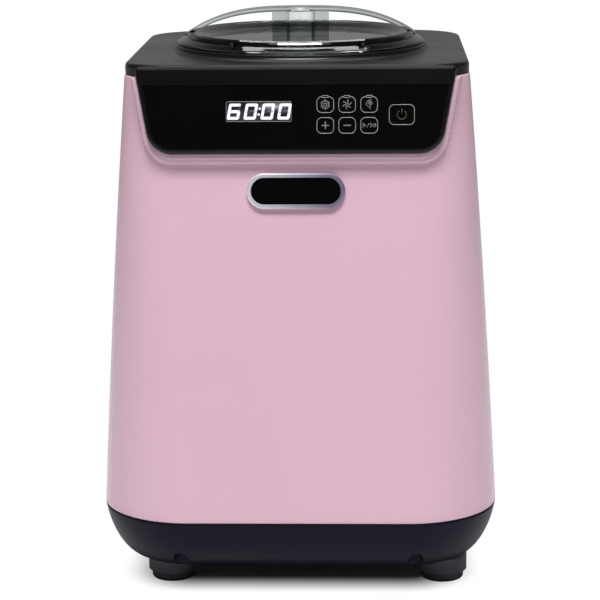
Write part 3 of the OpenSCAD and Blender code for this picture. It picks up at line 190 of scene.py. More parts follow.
def add_floor():
    """Pale floor that keeps the object's rendered shadow near the base; its white glow fades in with distance
    from the base's outline, which paints the shadow's outer fade, and is a white backdrop further out.
    """
    mesh = bpy.data.meshes.new("floor")
    corners = [(x * FLOOR_HALF, y * FLOOR_HALF, 0) for x, y in ((-1, -1), (1, -1), (1, 1), (-1, 1))]
    mesh.from_pydata(corners, [], [(0, 1, 2, 3)])
    floor = bpy.data.objects.new("floor", mesh)
    bpy.context.scene.collection.objects.link(floor)
    material = bpy.data.materials.new("pale_floor")
    material.use_nodes = True
    tree = material.node_tree
    bsdf = tree.nodes["Principled BSDF"]
    bsdf.inputs["Roughness"].default_value = 0.9
    bsdf.inputs["Specular IOR Level"].default_value = 0.0
    bsdf.inputs["Emission Color"].default_value = (1, 1, 1, 1)
    path = tree.nodes.new("ShaderNodeLightPath")
    seen = link_math(tree, "MAXIMUM", path.outputs["Is Camera Ray"], path.outputs["Is Transmission Ray"])
    near, away = SHADOW_EDGE
    # Painted shadow: the floor's white glow is weaker near the base, so the outer fade of the shadow is
    # painted.
    painted_shadow_fade = map_range(tree, distance_from_base(tree), near * MM, away * MM, 0.0, 1.0, smooth=True)
    backdrop = link_math(tree, "MULTIPLY", seen, painted_shadow_fade)
    tree.links.new(backdrop, bsdf.inputs["Emission Strength"])
    colour = tree.nodes.new("ShaderNodeMix")
    colour.data_type = "RGBA"
    colour.inputs["A"].default_value = FLOOR_COLOUR
    colour.inputs["B"].default_value = (0, 0, 0, 1)
    tree.links.new(backdrop, colour.inputs["Factor"])
    tree.links.new(colour.outputs["Result"], bsdf.inputs["Base Color"])
    mesh.materials.append(material)


def add_softbox(name, place, target, width, height, power):
    data = bpy.data.lights.new(name, "AREA")
    data.shape = "RECTANGLE"
    data.size, data.size_y = width, height
    data.energy = power
    lamp = bpy.data.objects.new(name, data)
    lamp.location = place
    lamp.rotation_euler = (Vector(target) - Vector(place)).to_track_quat("-Z", "Y").to_euler()
    bpy.context.scene.collection.objects.link(lamp)


# ---------------------------------------------------------------- materials

NOISE_RANGE = (0.3, 0.7)               # where most of a noise texture's values lie


def linear(r, g, b):
    """Linear colour of an 8-bit screen colour."""
    def channel(c):
        c /= 255
        return c / 12.92 if c <= 0.04045 else ((c + 0.055) / 1.055) ** 2.4
    return (channel(r), channel(g), channel(b), 1.0)


def shade(colour, factor):
    return tuple(min(1.0, c * factor) for c in colour[:3]) + (1.0,)


def add_noise(tree, scale, detail=3.0, stretch=(1, 1, 1)):
    place = tree.nodes.new("ShaderNodeTexCoord")
    mapping = tree.nodes.new("ShaderNodeMapping")
    mapping.inputs["Scale"].default_value = stretch
    tree.links.new(place.outputs["Object"], mapping.inputs["Vector"])
    noise = tree.nodes.new("ShaderNodeTexNoise")
    noise.inputs["Scale"].default_value = scale
    noise.inputs["Detail"].default_value = detail
    tree.links.new(mapping.outputs[0], noise.inputs["Vector"])
    return noise.outputs["Fac"]


def add_colours(tree, factor, first, second, low=0.35, high=0.65):
    ramp = tree.nodes.new("ShaderNodeValToRGB")
    ramp.color_ramp.elements[0].position = low
    ramp.color_ramp.elements[0].color = first
    ramp.color_ramp.elements[1].position = high
    ramp.color_ramp.elements[1].color = second
    tree.links.new(factor, ramp.inputs[0])
    return ramp.outputs[0]


def add_bump(tree, bsdf, factor, depth):
    bump = tree.nodes.new("ShaderNodeBump")
    bump.inputs["Distance"].default_value = depth
    bump.inputs["Strength"].default_value = 1.0
    tree.links.new(factor, bump.inputs["Height"])
    tree.links.new(bump.outputs["Normal"], bsdf.inputs["Normal"])


def finish_material(name, colour, roughness=0.5, spread=0.05, variation=0.06, patch=18.0, grain=2500.0,
                    depth=0.004, stretch=(1, 1, 1), **sockets):
    """A principled finish whose colour and roughness drift in soft patches over a fine grain.

    Roughness drifts by spread and colour by variation, in patches of the noise scale patch. The bump
    has the noise scale grain and its depth in mm. sockets are further inputs of the shader, by name."""
    material = bpy.data.materials.new(name)
    material.use_nodes = True
    tree = material.node_tree
    bsdf = tree.nodes["Principled BSDF"]
    patches = add_noise(tree, patch, 4.0, stretch)
    tree.links.new(add_colours(tree, patches, shade(colour, 1 - variation), shade(colour, 1 + variation)),
                   bsdf.inputs["Base Color"])
    rough = map_range(tree, patches, *NOISE_RANGE, roughness - spread, roughness + spread)
    tree.links.new(rough, bsdf.inputs["Roughness"])
    if depth:
        add_bump(tree, bsdf, add_noise(tree, grain, 2.0, stretch), depth * MM)
    for socket, value in sockets.items():
        bsdf.inputs[socket.replace("_", " ")].default_value = value
    return material


def metal(name, colour, roughness, **options):
    return finish_material(name, colour, roughness, Metallic=1.0, **options)


def plastic(name, colour, roughness, spread=0.05, variation=0.05, patch=14.0, grain=4200.0, **options):
    """Moulded plastic with a fine spark-eroded grain."""
    return finish_material(name, colour, roughness, spread, variation, patch, grain, **options)


def printed(name, colour, variation=0.08):
    return finish_material(name, colour, spread=0.05, variation=variation, patch=300.0, grain=2400.0,
                           depth=0.001)


def make_materials():
    made = {}
    made["paint"] = finish_material(
        "pink_gloss_paint", linear(220, 182, 198), 0.22, spread=0.03, variation=0.012, patch=6.0,
        grain=900.0, depth=0.0006, Specular_IOR_Level=0.3, Coat_Weight=0.14, Coat_Roughness=0.08)
    made["deck"] = plastic("matte_deck_plastic", linear(15, 16, 14), 0.31, depth=0.012,
                           Specular_IOR_Level=0.3)
    made["console"] = plastic("console_plastic", linear(9, 9, 8), 0.3, spread=0.04, depth=0.006,
                              Specular_IOR_Level=0.3)
    made["base"] = plastic("dark_base_plastic", linear(14, 12, 23), 0.42, depth=0.01,
                           Specular_IOR_Level=0.18, Specular_Tint=(0.76, 0.7, 1.0, 1.0))
    made["rubber"] = finish_material("foot_rubber", linear(60, 59, 65), 0.7, spread=0.06, variation=0.08,
                                     patch=40.0, grain=3000.0, depth=0.02)
    made["glass"] = finish_material("console_glass", linear(7, 7, 7), 0.1, spread=0.02, variation=0.1,
                                    patch=20.0, grain=600.0, depth=0.0002, Specular_IOR_Level=0.12)
    made["chrome"] = badge_chrome()
    made["insert"] = finish_material("badge_black", linear(6, 6, 7), 0.12, spread=0.03, variation=0.1,
                                     patch=30.0, grain=900.0, depth=0.001, Specular_IOR_Level=0.12)
    made["arch"] = clear_plastic("smoky_lid_plastic", (178, 184, 184), (192, 197, 197))
    # The lid is one clear moulding: below the crest a darker copy of its plastic is painted shade, and in the
    # middle column a clearer copy is painted light.
    made["dish"] = clear_plastic("lid_plastic_painted_shade", (116, 123, 119), (130, 137, 133))
    made["column"] = clear_plastic("lid_plastic_painted_light", (236, 240, 238), (244, 247, 246))
    made["steel"] = metal("bright_steel", linear(196, 198, 200), 0.24, stretch=(1, 1, 8), depth=0.002)
    made["bowl"] = metal("anodised_bowl", linear(132, 134, 136), 0.4, stretch=(1, 1, 8), depth=0.002)
    made["zinc"] = metal("zinc_plate", linear(178, 180, 182), 0.42, patch=60.0)
    made["screw"] = metal("zinc_screws", linear(170, 172, 174), 0.34, patch=200.0)
    made["black_screw"] = metal("black_screws", linear(60, 60, 62), 0.4, patch=200.0)
    made["copper"] = metal("copper_pipe", linear(196, 122, 84), 0.3, patch=70.0, variation=0.1)
    made["drier"] = metal("drier_copper", linear(176, 110, 78), 0.38, patch=60.0, variation=0.1)
    made["aluminium"] = metal("fin_aluminium", linear(196, 200, 204), 0.36, patch=120.0)
    made["motor"] = metal("motor_can", linear(120, 122, 126), 0.4, patch=50.0)
    made["bronze"] = metal("bearing_bronze", linear(178, 140, 84), 0.36, patch=120.0)
    made["can"] = finish_material("compressor_enamel", linear(26, 26, 28), 0.35, spread=0.06,
                                  variation=0.1, patch=30.0, grain=900.0, depth=0.01, Coat_Weight=0.3)
    for key, name, colour in (("black", "black_plastic", linear(34, 34, 36)),
                              ("dark", "dark_plastic", linear(58, 58, 62))):
        made[key] = plastic(name, colour, 0.5, spread=0.06, variation=0.08, patch=20.0, grain=3600.0,
                            depth=0.01)
    made["nylon"] = plastic("white_nylon", linear(226, 224, 214), 0.42, variation=0.03, patch=40.0,
                            grain=1600.0, depth=0.008, Subsurface_Weight=0.05)
    made["foam"] = finish_material("foam", linear(228, 216, 176), 0.85, patch=60.0, grain=900.0, depth=0.2)
    made["board"] = finish_material("circuit_board", linear(28, 84, 50), 0.4, spread=0.06, variation=0.12,
                                    patch=160.0, grain=1400.0, depth=0.01)
    made["parts"] = finish_material("board_parts", linear(150, 120, 60), 0.45, spread=0.08, variation=0.2,
                                    patch=90.0, grain=1200.0, depth=0.01)
    made["display"] = finish_material("display_body", linear(206, 210, 214), 0.4, variation=0.04,
                                      patch=60.0, grain=1200.0)
    made["seal"] = finish_material("black_seal", linear(26, 26, 28), 0.6, spread=0.06, variation=0.08,
                                   patch=60.0, grain=2400.0, depth=0.012)
    made["soft_seal"] = finish_material("pale_seal", linear(196, 200, 198), variation=0.04, patch=60.0,
                                        grain=2000.0, depth=0.01, Subsurface_Weight=0.1)
    made["lit"] = glowing("display_light", linear(246, 246, 255), 1.15)
    # The unlit bars get a faint painted glow.
    made["dark_bar"] = glowing("display_dark_bar", linear(70, 68, 96), 0.5)
    # A painted glow for the display window, standing in for the halo round the lit digits.
    made["glow"] = glowing("display_glow", linear(34, 32, 48), 0.45)
    made["print"] = printed("grey_print", linear(138, 138, 138))
    made["dim_print"] = printed("dim_print", linear(112, 112, 114))
    made["power_print"] = printed("olive_print", linear(60, 56, 34), variation=0.1)
    return made


def badge_chrome():
    """Satin chrome with a painted reflection, paler towards the left end of the badge and darker towards the
    right.
    """
    material = finish_material("badge_chrome", linear(200, 194, 210), 0.34, grain=1800.0, depth=0.003,
                               Metallic=0.6)
    tree = material.node_tree
    place = tree.nodes.new("ShaderNodeTexCoord")
    axes = tree.nodes.new("ShaderNodeSeparateXYZ")
    tree.links.new(place.outputs["Object"], axes.inputs[0])
    left, right = BADGE_REFLECTION_SPAN
    across = map_range(tree, axes.outputs["X"], left * MM, right * MM, 0.0, 1.0)
    # Painted reflection: the chrome's colour runs from pale at the left end of the badge to dark at the
    # right.
    tree.links.new(add_colours(tree, across, linear(244, 242, 248), linear(142, 134, 160), 0.1, 0.9),
                   tree.nodes["Principled BSDF"].inputs["Base Color"])
    return material


def glowing(name, colour, strength):
    """A glowing surface whose colour drifts a little: a diffuser over small lamps for the lit digits, and a
    painted glow for the unlit bars and the display window.
    """
    material = bpy.data.materials.new(name)
    material.use_nodes = True
    tree = material.node_tree
    bsdf = tree.nodes["Principled BSDF"]
    drift = add_noise(tree, 420.0, 2.0)
    tree.links.new(add_colours(tree, drift, shade(colour, 0.94), colour), bsdf.inputs["Emission Color"])
    bsdf.inputs["Emission Strength"].default_value = strength
    tree.links.new(add_colours(tree, drift, shade(colour, 0.1), shade(colour, 0.12)),
                   bsdf.inputs["Base Color"])
    bsdf.inputs["Roughness"].default_value = 0.4
    return material


def clear_plastic(name, low, high):
    """Clear plastic of a faint tint with a soft ripple from moulding."""
    material = bpy.data.materials.new(name)
    material.use_nodes = True
    tree = material.node_tree
    bsdf = tree.nodes["Principled BSDF"]
    ripple = add_noise(tree, 26.0, 2.0)
    tree.links.new(add_colours(tree, ripple, linear(*low), linear(*high)),
                   bsdf.inputs["Base Color"])
    rough = map_range(tree, add_noise(tree, 90.0), *NOISE_RANGE, 0.02, 0.07)
    tree.links.new(rough, bsdf.inputs["Roughness"])
    bsdf.inputs["Transmission Weight"].default_value = 1.0
    bsdf.inputs["IOR"].default_value = 1.49
    add_bump(tree, bsdf, ripple, 0.03 * MM)
    return material


NODE_FINISH = {
    "housing_shell": "paint", "rear_cover": "black", "rear_cover_screws": "black_screw",
    "cord_gland": "seal", "top_deck": "deck", "deck_screws": "screw", "control_panel_glass": "glass",
    "display_module": "display", "display_board": "board", "display_board_screws": "screw",
    "badge_bezel": "chrome", "badge_insert": "insert", "base_tray": "base", "base_screws": "black_screw",
    "foot_front_left": "rubber", "foot_front_right": "rubber", "foot_rear_left": "rubber",
    "foot_rear_right": "rubber", "foot_screws": "screw", "chassis_plate": "zinc", "support_frame": "zinc",
    "compressor": "can", "compressor_grommets": "seal", "compressor_studs": "screw",
    "terminal_cover": "black", "condenser_tubes": "copper", "condenser_fins": "aluminium",
    "condenser_end_plates": "zinc", "fan_shroud": "dark", "fan_motor": "motor", "fan_shaft": "screw",
    "fan_blade": "dark", "filter_drier": "drier", "discharge_pipe": "copper", "liquid_pipe": "copper",
    "capillary_tube": "copper", "suction_pipe": "copper", "power_board": "board",
    "power_board_parts": "parts", "board_bracket": "zinc", "gearbox_housing": "dark",
    "gearbox_cover": "dark", "gearbox_screws": "screw", "output_gear": "nylon",
    "intermediate_gear": "nylon", "intermediate_shaft": "screw", "motor_pinion": "steel",
    "drive_motor": "motor", "drive_spindle": "steel", "spindle_bearing": "bronze", "shaft_seal": "seal",
    "evaporator_drum": "aluminium", "evaporator_coil": "copper", "insulation_jacket": "foam",
    "well_gasket": "seal", "mixing_bowl": "bowl", "paddle": "nylon", "lid": "arch",
    "lid_seal": "soft_seal",
}


def dress_nodes(made):
    for name, node in nodes.items():
        node.data.materials.clear()
        node.data.materials.append(made[NODE_FINISH[name]])
        for face in node.data.polygons:
            face.material_index = 0
        node.data.shade_smooth()
        node.data.set_sharp_from_angle(angle=NODE_SMOOTH_ANGLE)
    refinish(nodes["top_deck"], made["console"], lambda place: place.y < CONSOLE_ROOT_Y * MM)
    # Painted shade and light on the lid: a darker copy of its plastic below the crest, a clearer copy in the
    # middle column.
    refinish(nodes["lid"], made["dish"], lambda place: place.z < CREST_Z * MM)
    refinish(nodes["lid"], made["column"],
             lambda place: place.z > COLUMN_FOOT_Z * MM and math.hypot(place.x, place.y) < COLUMN_R * MM)


def refinish(node, material, chosen):
    """Gives the faces of a node whose middles are chosen a second material: a finish of their own, or a copy
    with painted light or shade.
    """
    node.data.materials.append(material)
    for face in node.data.polygons:
        if chosen(node.matrix_world @ face.center):
            face.material_index = len(node.data.materials) - 1


# ---------------------------------------------------------------- mesh helpers

def add_piece(name, vertices, faces, material):
    """A smooth mesh from corners in mm that rides on the appliance."""
    mesh = bpy.data.meshes.new(name)
    mesh.from_pydata([tuple(c * MM for c in v) for v in vertices], [], faces)
    mesh.validate()
    mesh.materials.append(material)
    mesh.shade_smooth()
    mesh.set_sharp_from_angle(angle=PIECE_SMOOTH_ANGLE)
    piece = bpy.data.objects.new(name, mesh)
    bpy.context.scene.collection.objects.link(piece)
    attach(piece, "appliance")
    return piece


def loft(loops):
    """Quads between closed loops of equal length, as vertices and faces."""
    count = len(loops[0])
    vertices = [point for loop in loops for point in loop]
    faces = []
    for row in range(len(loops) - 1):
        for i in range(count):
            j = (i + 1) % count
            faces.append((row * count + i, row * count + j, (row + 1) * count + j, (row + 1) * count + i))
    return vertices, faces


def apply_modifier(piece, modifier):
    bpy.context.view_layer.objects.active = piece
    piece.select_set(True)
    bpy.ops.object.modifier_apply(modifier=modifier.name)
    piece.select_set(False)


def thicken(piece, thickness):
    """Gives a single-sided piece its wall, inward, and closes its edges."""
    modifier = piece.modifiers.new("wall", "SOLIDIFY")
    modifier.thickness = thickness * MM
    modifier.offset = -1
    apply_modifier(piece, modifier)


def cut_away(piece, shape):
    """Takes a closed shape out of a piece."""
    mesh = bpy.data.meshes.new("cutter")
    shape.to_mesh(mesh)
    shape.free()
    cutter = bpy.data.objects.new("cutter", mesh)
    bpy.context.scene.collection.objects.link(cutter)
    modifier = piece.modifiers.new("cut", "BOOLEAN")
    modifier.operation = "DIFFERENCE"
    modifier.object = cutter
    modifier.solver = "EXACT"
    apply_modifier(piece, modifier)
    bpy.data.objects.remove(cutter)
    bpy.data.meshes.remove(mesh)


# ---------------------------------------------------------------- housing and base

def mix(a, b, t):
    return a + (b - a) * t


# Spans along the front, a front corner, a side, a rear corner and the rear of an outline
HOUSING_SPANS = (200, 44, 24, 24, 44)
TRAY_SPANS = (30, 44, 16, 44, 30)


def rise(z):
    """Height z as a share of the housing's height."""
    return (z - SHELL_Z0) / (SHELL_Z1 - SHELL_Z0)


def body_half(z):
    t = rise(z)
    return mix(BASE_W / 2, TOP_W / 2, t) + 4 * SIDE_BULGE * t * (1 - t)


def body_plan(z, inset=0.0):
    """Points round the housing at height z, counter-clockwise from the front's left end."""
    t = rise(z)
    half = body_half(z) - inset
    front = mix(-BASE_D / 2, -TOP_FRONT, t) + inset
    rear = mix(BASE_D / 2, TOP_REAR, t) - inset
    front_r = mix(BASE_CORNER_R, FRONT_CORNER_R, t) - inset
    rear_r = mix(BASE_CORNER_R, REAR_CORNER_R, t) - inset
    return rounded_plan(half, front, rear, front_r, rear_r, HOUSING_SPANS)


def rounded_plan(half, front, rear, front_r, rear_r, spans):
    """Rectangle with round corners."""
    n_front, n_front_r, n_side, n_rear_r, n_rear = spans
    points = [(mix(-half + front_r, half - front_r, i / n_front), front) for i in range(n_front)]
    points += arc(half - front_r, front + front_r, front_r, -90, 0, n_front_r)
    points += [(half, mix(front + front_r, rear - rear_r, i / n_side)) for i in range(n_side)]
    points += arc(half - rear_r, rear - rear_r, rear_r, 0, 90, n_rear_r)
    points += [(mix(half - rear_r, -half + rear_r, i / n_rear), rear) for i in range(n_rear)]
    points += arc(-half + rear_r, rear - rear_r, rear_r, 90, 180, n_rear_r)
    points += [(-half, mix(rear - rear_r, front + front_r, i / n_side)) for i in range(n_side)]
    points += arc(-half + front_r, front + front_r, front_r, 180, 270, n_front_r)
    return points


def arc(x, y, r, start, end, steps):
    """Points of an arc, from its start up to the one before its end."""
    turns = [math.radians(mix(start, end, i / steps)) for i in range(steps)]
    return [(x + r * math.cos(a), y + r * math.sin(a)) for a in turns]


def console_distance(x, v):
    """Signed distance of a point of the console's plane from the console's outline, mm."""
    x = abs(x)
    top_r, low_r = CONSOLE_TOP_R, CONSOLE_CORNER_R
    top = (CONSOLE_HW - top_r, -top_r)
    low = (CONSOLE_CORNER_X, low_r - CONSOLE_H)
    span = math.hypot(top[0] - low[0], top[1] - low[1])
    slant = math.atan2(top[0] - low[0], top[1] - low[1]) - math.asin((low_r - top_r) / span)
    side = (x - low[0]) * math.cos(slant) - (v - low[1]) * math.sin(slant) - low_r
    along = (x - low[0]) * math.sin(slant) + (v - low[1]) * math.cos(slant)
    along_top = (top[0] - low[0]) * math.sin(slant) + (top[1] - low[1]) * math.cos(slant)
    if along < 0 and x > low[0]:
        return math.hypot(x - low[0], v - low[1]) - low_r
    if x <= low[0] and v < low[1]:
        return -CONSOLE_H - v
    if along > along_top and v > top[1] and x > top[0]:
        return math.hypot(x - top[0], v - top[1]) - top_r
    return max(side, v, -CONSOLE_H - v)


# By distance from the seat's outline: how far its shoulder stands out from the housing, and how far the
# seat itself stands out from the plane of the housing's front, also where the corners curve away from it
SEAT_PROFILE = ((-100, 3.8), (-3.2, 3.8), (-2.6, 3.5), (-1.9, 2.6), (-1.2, 1.7), (-0.4, 1.1), (0.6, 0.8),
                (1.8, 0.58), (3.4, 0.36), (5.5, 0.2), (9, 0.08), (13, 0.0), (200, 0.0))
SEAT_DROP_OFF = ((-100, 3.0), (-1.4, 3.0), (-0.5, 2.8), (0.2, 2.3), (0.7, 1.4), (1.2, -0.6), (3.1, -14.0),
                 (8.0, -40.0))
CORNER_RECESS = 8.0                    # the soft shoulder ends where the corners fall away by this much
SEAT_BLEND = 0.9                       # radius of the soft line between the seat and the housing


def table_level(table, at):
    """Value of a table of (place, value) pairs, with straight lines between them."""
    for (d0, n0), (d1, n1) in zip(table, table[1:]):
        if at <= d1:
            return mix(n0, n1, (at - d0) / (d1 - d0))
    return table[-1][1]


def with_seat(x, y, z):
    """The housing's point moved forward to the console's seat, with a soft valley between them."""
    if y > 0 or z < SEAT_REACH_Z:
        return (x, y, z)
    run = (BASE_D / 2 - TOP_FRONT) / (SHELL_Z1 - SHELL_Z0)
    tilt = math.atan(run)
    top_y = mix(-BASE_D / 2, -TOP_FRONT, rise(DECK_Z))
    face_y = top_y + (z - DECK_Z) * run
    distance = console_distance(x, (z - DECK_Z) / math.cos(tilt) + SEAT_DROP) - SEAT_GROW
    flat = max(0.0, 1 - max(0.0, y - face_y) / CORNER_RECESS)
    y -= table_level(SEAT_PROFILE, distance) * flat
    seat_y = face_y - table_level(SEAT_DROP_OFF, distance) / math.cos(tilt)
    gap = max(SEAT_BLEND - abs(y - seat_y), 0) / SEAT_BLEND
    return (x, min(y, seat_y) - gap * gap * gap * SEAT_BLEND / 6, z)


def housing_skin(material):
    """The housing as one smooth sheet, from its lower flange over the wall and the seat to its lip."""
    edge = SHELL_EDGE_R
    plain = np.linspace(SHELL_Z0 + edge, SEAT_REACH_Z, 40)
    seated = np.linspace(SEAT_REACH_Z, SHELL_Z1 - edge, 110)
    loops = [[(x, y, SHELL_Z0) for x, y in body_plan(SHELL_Z0, inset)]
             for inset in (SHELL_FLANGE, SHELL_FLANGE / 2, edge * 2)]
    for turn in (0, 22.5, 45, 67.5):
        a = math.radians(turn)
        z = SHELL_Z0 + edge * (1 - math.cos(a))
        loops.append([(x, y, z) for x, y in body_plan(z, edge * (1 - math.sin(a)))])
    for z in [*plain, *seated[1:]]:
        loops.append([with_seat(x, y, z) for x, y in body_plan(z)])
    wall_top = loops[-1]
    for turn in (22.5, 45, 67.5, 90):
        a = math.radians(turn)
        z = SHELL_Z1 - edge * (1 - math.sin(a))
        loops.append([shifted_in(point, edge * (1 - math.cos(a)), z) for point in wall_top])
    for inset in (edge * 2, SHELL_LIP / 2, SHELL_LIP):
        loops.append([shifted_in(point, inset, SHELL_Z1) for point in wall_top])
    vertices, faces = loft(loops)
    faces = [face for face in faces if not in_opening(vertices, face)]
    skin = add_piece("housing_skin", vertices, faces, material)
    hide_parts("housing_shell")
    thicken(skin, SKIN_WALL)


def shifted_in(point, inset, z):
    """A point moved towards the middle of the plan by about inset, at a new height."""
    x, y, _ = point
    reach_x = body_half(z) - FRONT_CORNER_R
    dx = x - max(-reach_x, min(reach_x, x))
    core_y = max(-TOP_FRONT + FRONT_CORNER_R, min(TOP_REAR - REAR_CORNER_R, y))
    dy = y - core_y
    reach = math.hypot(dx, dy) or 1.0
    return (x - dx / reach * inset, y - dy / reach * inset, z)


def in_opening(vertices, face):
    """Whether a face lies in the service opening at the rear or the window behind the display."""
    x, y, z = (sum(vertices[i][k] for i in face) / len(face) for k in range(3))
    rear = y > REAR_OPENING_Y and abs(x) < REAR_OPENING_HW and REAR_OPENING_Z[0] < z < REAR_OPENING_Z[1]
    window = y < WINDOW_Y and abs(x) < WINDOW_HW and WINDOW_Z[0] < z < WINDOW_Z[1]
    return rear or window


def base_skin(material):
    """Smooth outer surface of the base tray, cut away at the four screw wells."""
    out = 0.1                          # outside the tray's own surface, with air between them
    loops = []
    # u is the depth below the tray's upper edge as a share of its height
    for u in np.sin(np.radians(np.linspace(0.0, 84.0, 29))):
        inset = TRAY_SET_BACK + TRAY_TAPER * u + TRAY_ROUND * (1 - math.sqrt(1 - u * u)) - out
        half, reach, r = BASE_W / 2 - inset, BASE_D / 2 - inset, BASE_CORNER_R - inset
        plan = rounded_plan(half, -reach, reach, r, r, TRAY_SPANS)
        loops.append([(x, y, TRAY_Z1 - u * TRAY_H) for x, y in reversed(plan)])
    vertices, faces = loft(loops)
    skin = add_piece("base_skin", vertices, faces, material)
    thicken(skin, out * 0.8)
    cut_away(skin, screw_wells())


def screw_wells():
    """Upright cylinders at the four wells, long enough to pass through the tray's wall."""
    wells = bmesh.new()
    for x in (-SCREW_WELL_X, SCREW_WELL_X):
        for y in (-SCREW_WELL_Y, SCREW_WELL_Y):
            place = Matrix.Translation((x * MM, y * MM, (SCREW_WELL_TOP - SCREW_WELL_H / 2) * MM))
            bmesh.ops.create_cone(wells, cap_ends=True, segments=48, radius1=SCREW_WELL_R * MM,
                                  radius2=SCREW_WELL_R * MM, depth=SCREW_WELL_H * MM, matrix=place)
    return wells


# ---------------------------------------------------------------- printed panel

# X is across the console, V up its face from the brow
PRINT_T = 0.05                         # thickness of the printed marks
PRINT_GAP = 0.02                       # and the air behind them
LINE_W = 0.45
KEY_W, KEY_H, KEY_R = 10.7, 10.0, 3.1
KEY_X = (19.2, 33.1, 47.1)
KEY_V = (-24.7, -37.9)
POWER_X, POWER_V, POWER_W, POWER_H, POWER_R = 67.9, -31.2, 16.0, 12.7, 3.1
DISPLAY_X, DISPLAY_V, DISPLAY_W, DISPLAY_H = -23.2, -28.9, 41.4, 12.6
DISPLAY_R, DISPLAY_INSET = 0.9, 0.3
DIGIT_H, DIGIT_W, SEGMENT_W = 10.2, 7.9, 1.8
DIGIT_X = (-20.6, -9.9, 0.9, 11.6)     # left feet of the digits, from the display's middle
COLON_X, COLON_R, COLON_RISE = -0.6, 0.75, (0.32, 0.68)
LAMP_W, LAMP_H, LAMP_R = 4.0, 1.3, 0.6                   # lamp in the upper keys' outline
LAMP_GAP, LAMP_RISE, LAMP_LINE_W = 2.1, 0.15, 0.4        # half the gap it stands in, its lift, its line
DIGIT_LEAN = math.tan(math.radians(10))
SIGN_L, SIGN_W = 4.8, 0.8              # bars of the plus and the minus
SEGMENTS = {"6": "acdefg", "0": "abcdef"}


def on_console(x, v, n):
    """Point of the console: x across, v up its face from the brow, n outward."""
    s, c = math.sin(CONSOLE_TILT), math.cos(CONSOLE_TILT)
    return (x, -BROW_Y + v * s - n * c, DECK_Z + v * c + n * s)


def polar(x, v, r, degrees):
    a = math.radians(degrees)
    return (x + r * math.cos(a), v + r * math.sin(a))


def ring_points(x, v, r, count, start=0.0, sweep=360.0):
    """Points round a middle, as a closed ring or, with less sweep, as an arc with both its ends."""
    steps = count if sweep == 360.0 else count - 1
    return [polar(x, v, r, start + sweep * i / steps) for i in range(count)]


def round_box(x, v, w, h, r, per_corner=7):
    points = []
    for sx, sv, start in ((1, 1, 0), (-1, 1, 90), (-1, -1, 180), (1, -1, 270)):
        points += ring_points(x + sx * (w / 2 - r), v + sv * (h / 2 - r), r, per_corner, start, 90.0)
    return points


def ribbon(points, width, closed=True):
    """Quads that follow a line at an even width."""
    count = len(points)
    sides = []
    for i, (x, v) in enumerate(points):
        before = points[i - 1] if closed or i else points[i]
        after = points[(i + 1) % count] if closed or i < count - 1 else points[i]
        first = Vector((x - before[0], v - before[1]))
        second = Vector((after[0] - x, after[1] - v))
        first = first.normalized() if first.length > 1e-9 else second.normalized()
        second = second.normalized() if second.length > 1e-9 else first
        along = (first + second).normalized()
        reach = width / 2 / max(0.5, along.dot(first))
        sides.append(((x - along.y * reach, v + along.x * reach), (x + along.y * reach, v - along.x * reach)))
    quads = []
    for i in range(count if closed else count - 1):
        (a, b), (c, d) = sides[i], sides[(i + 1) % count]
        quads.append([a, b, d, c])
    return quads


def bar(x, v, w, h):
    return [[(x - w / 2, v - h / 2), (x + w / 2, v - h / 2), (x + w / 2, v + h / 2), (x - w / 2, v + h / 2)]]


def add_print(name, polygons, material, level=GLASS_FACE, joined=True):
    """Flat marks from outlines on the console, printed at a level of its face."""
    vertices, faces = [], []
    for polygon in polygons:
        faces.append(tuple(range(len(vertices), len(vertices) + len(polygon))))
        vertices += [on_console(x, v, level + PRINT_T + PRINT_GAP) for x, v in polygon]
    piece = add_piece(name, vertices, faces, material)
    face_forward(piece, joined)
    thicken(piece, PRINT_T)


def face_forward(piece, joined):
    """Turns every face to the front, and may join corners that coincide."""
    shape = bmesh.new()
    shape.from_mesh(piece.data)
    if joined:
        bmesh.ops.remove_doubles(shape, verts=shape.verts, dist=0.005 * MM)
    for face in shape.faces:
        if face.normal.y > 0:
            face.normal_flip()
    shape.to_mesh(piece.data)
    shape.free()


def segment(x0, v0, x1, v1):
    """One bar of a digit, with cut corners that reach a little past its ends."""
    along = Vector((x1 - x0, v1 - v0)).normalized()
    side = Vector((-along.y, along.x)) * SEGMENT_W / 2
    a, b = Vector((x0, v0)), Vector((x1, v1))
    tip = along * SEGMENT_W * 0.36     # past the end
    narrow = side * 0.45               # half width there
    corners = (a - tip - narrow, a - side, b - side, b + tip - narrow, b + tip + narrow, b + side, a + side,
               a - tip + narrow)
    return [tuple(p) for p in corners]


def digit(x, v, lit):
    """The bars of one digit that are lit, or those that are dark."""
    w, h = DIGIT_W - SEGMENT_W, (DIGIT_H - SEGMENT_W) / 2
    ends = {"a": (0, 2, 1, 2), "b": (1, 1, 1, 2), "c": (1, 0, 1, 1), "d": (0, 0, 1, 0), "e": (0, 0, 0, 1),
            "f": (0, 1, 0, 2), "g": (0, 1, 1, 1)}    # in digit widths and half heights
    polygons = []
    for letter in lit:
        i0, j0, i1, j1 = ends[letter]
        bar_points = segment(i0 * w, j0 * h, i1 * w, j1 * h)
        polygons.append([lean(x + SEGMENT_W / 2 + px, v, py + SEGMENT_W / 2) for px, py in bar_points])
    return polygons


def lean(x, v, up):
    return (x + up * DIGIT_LEAN, v + up)


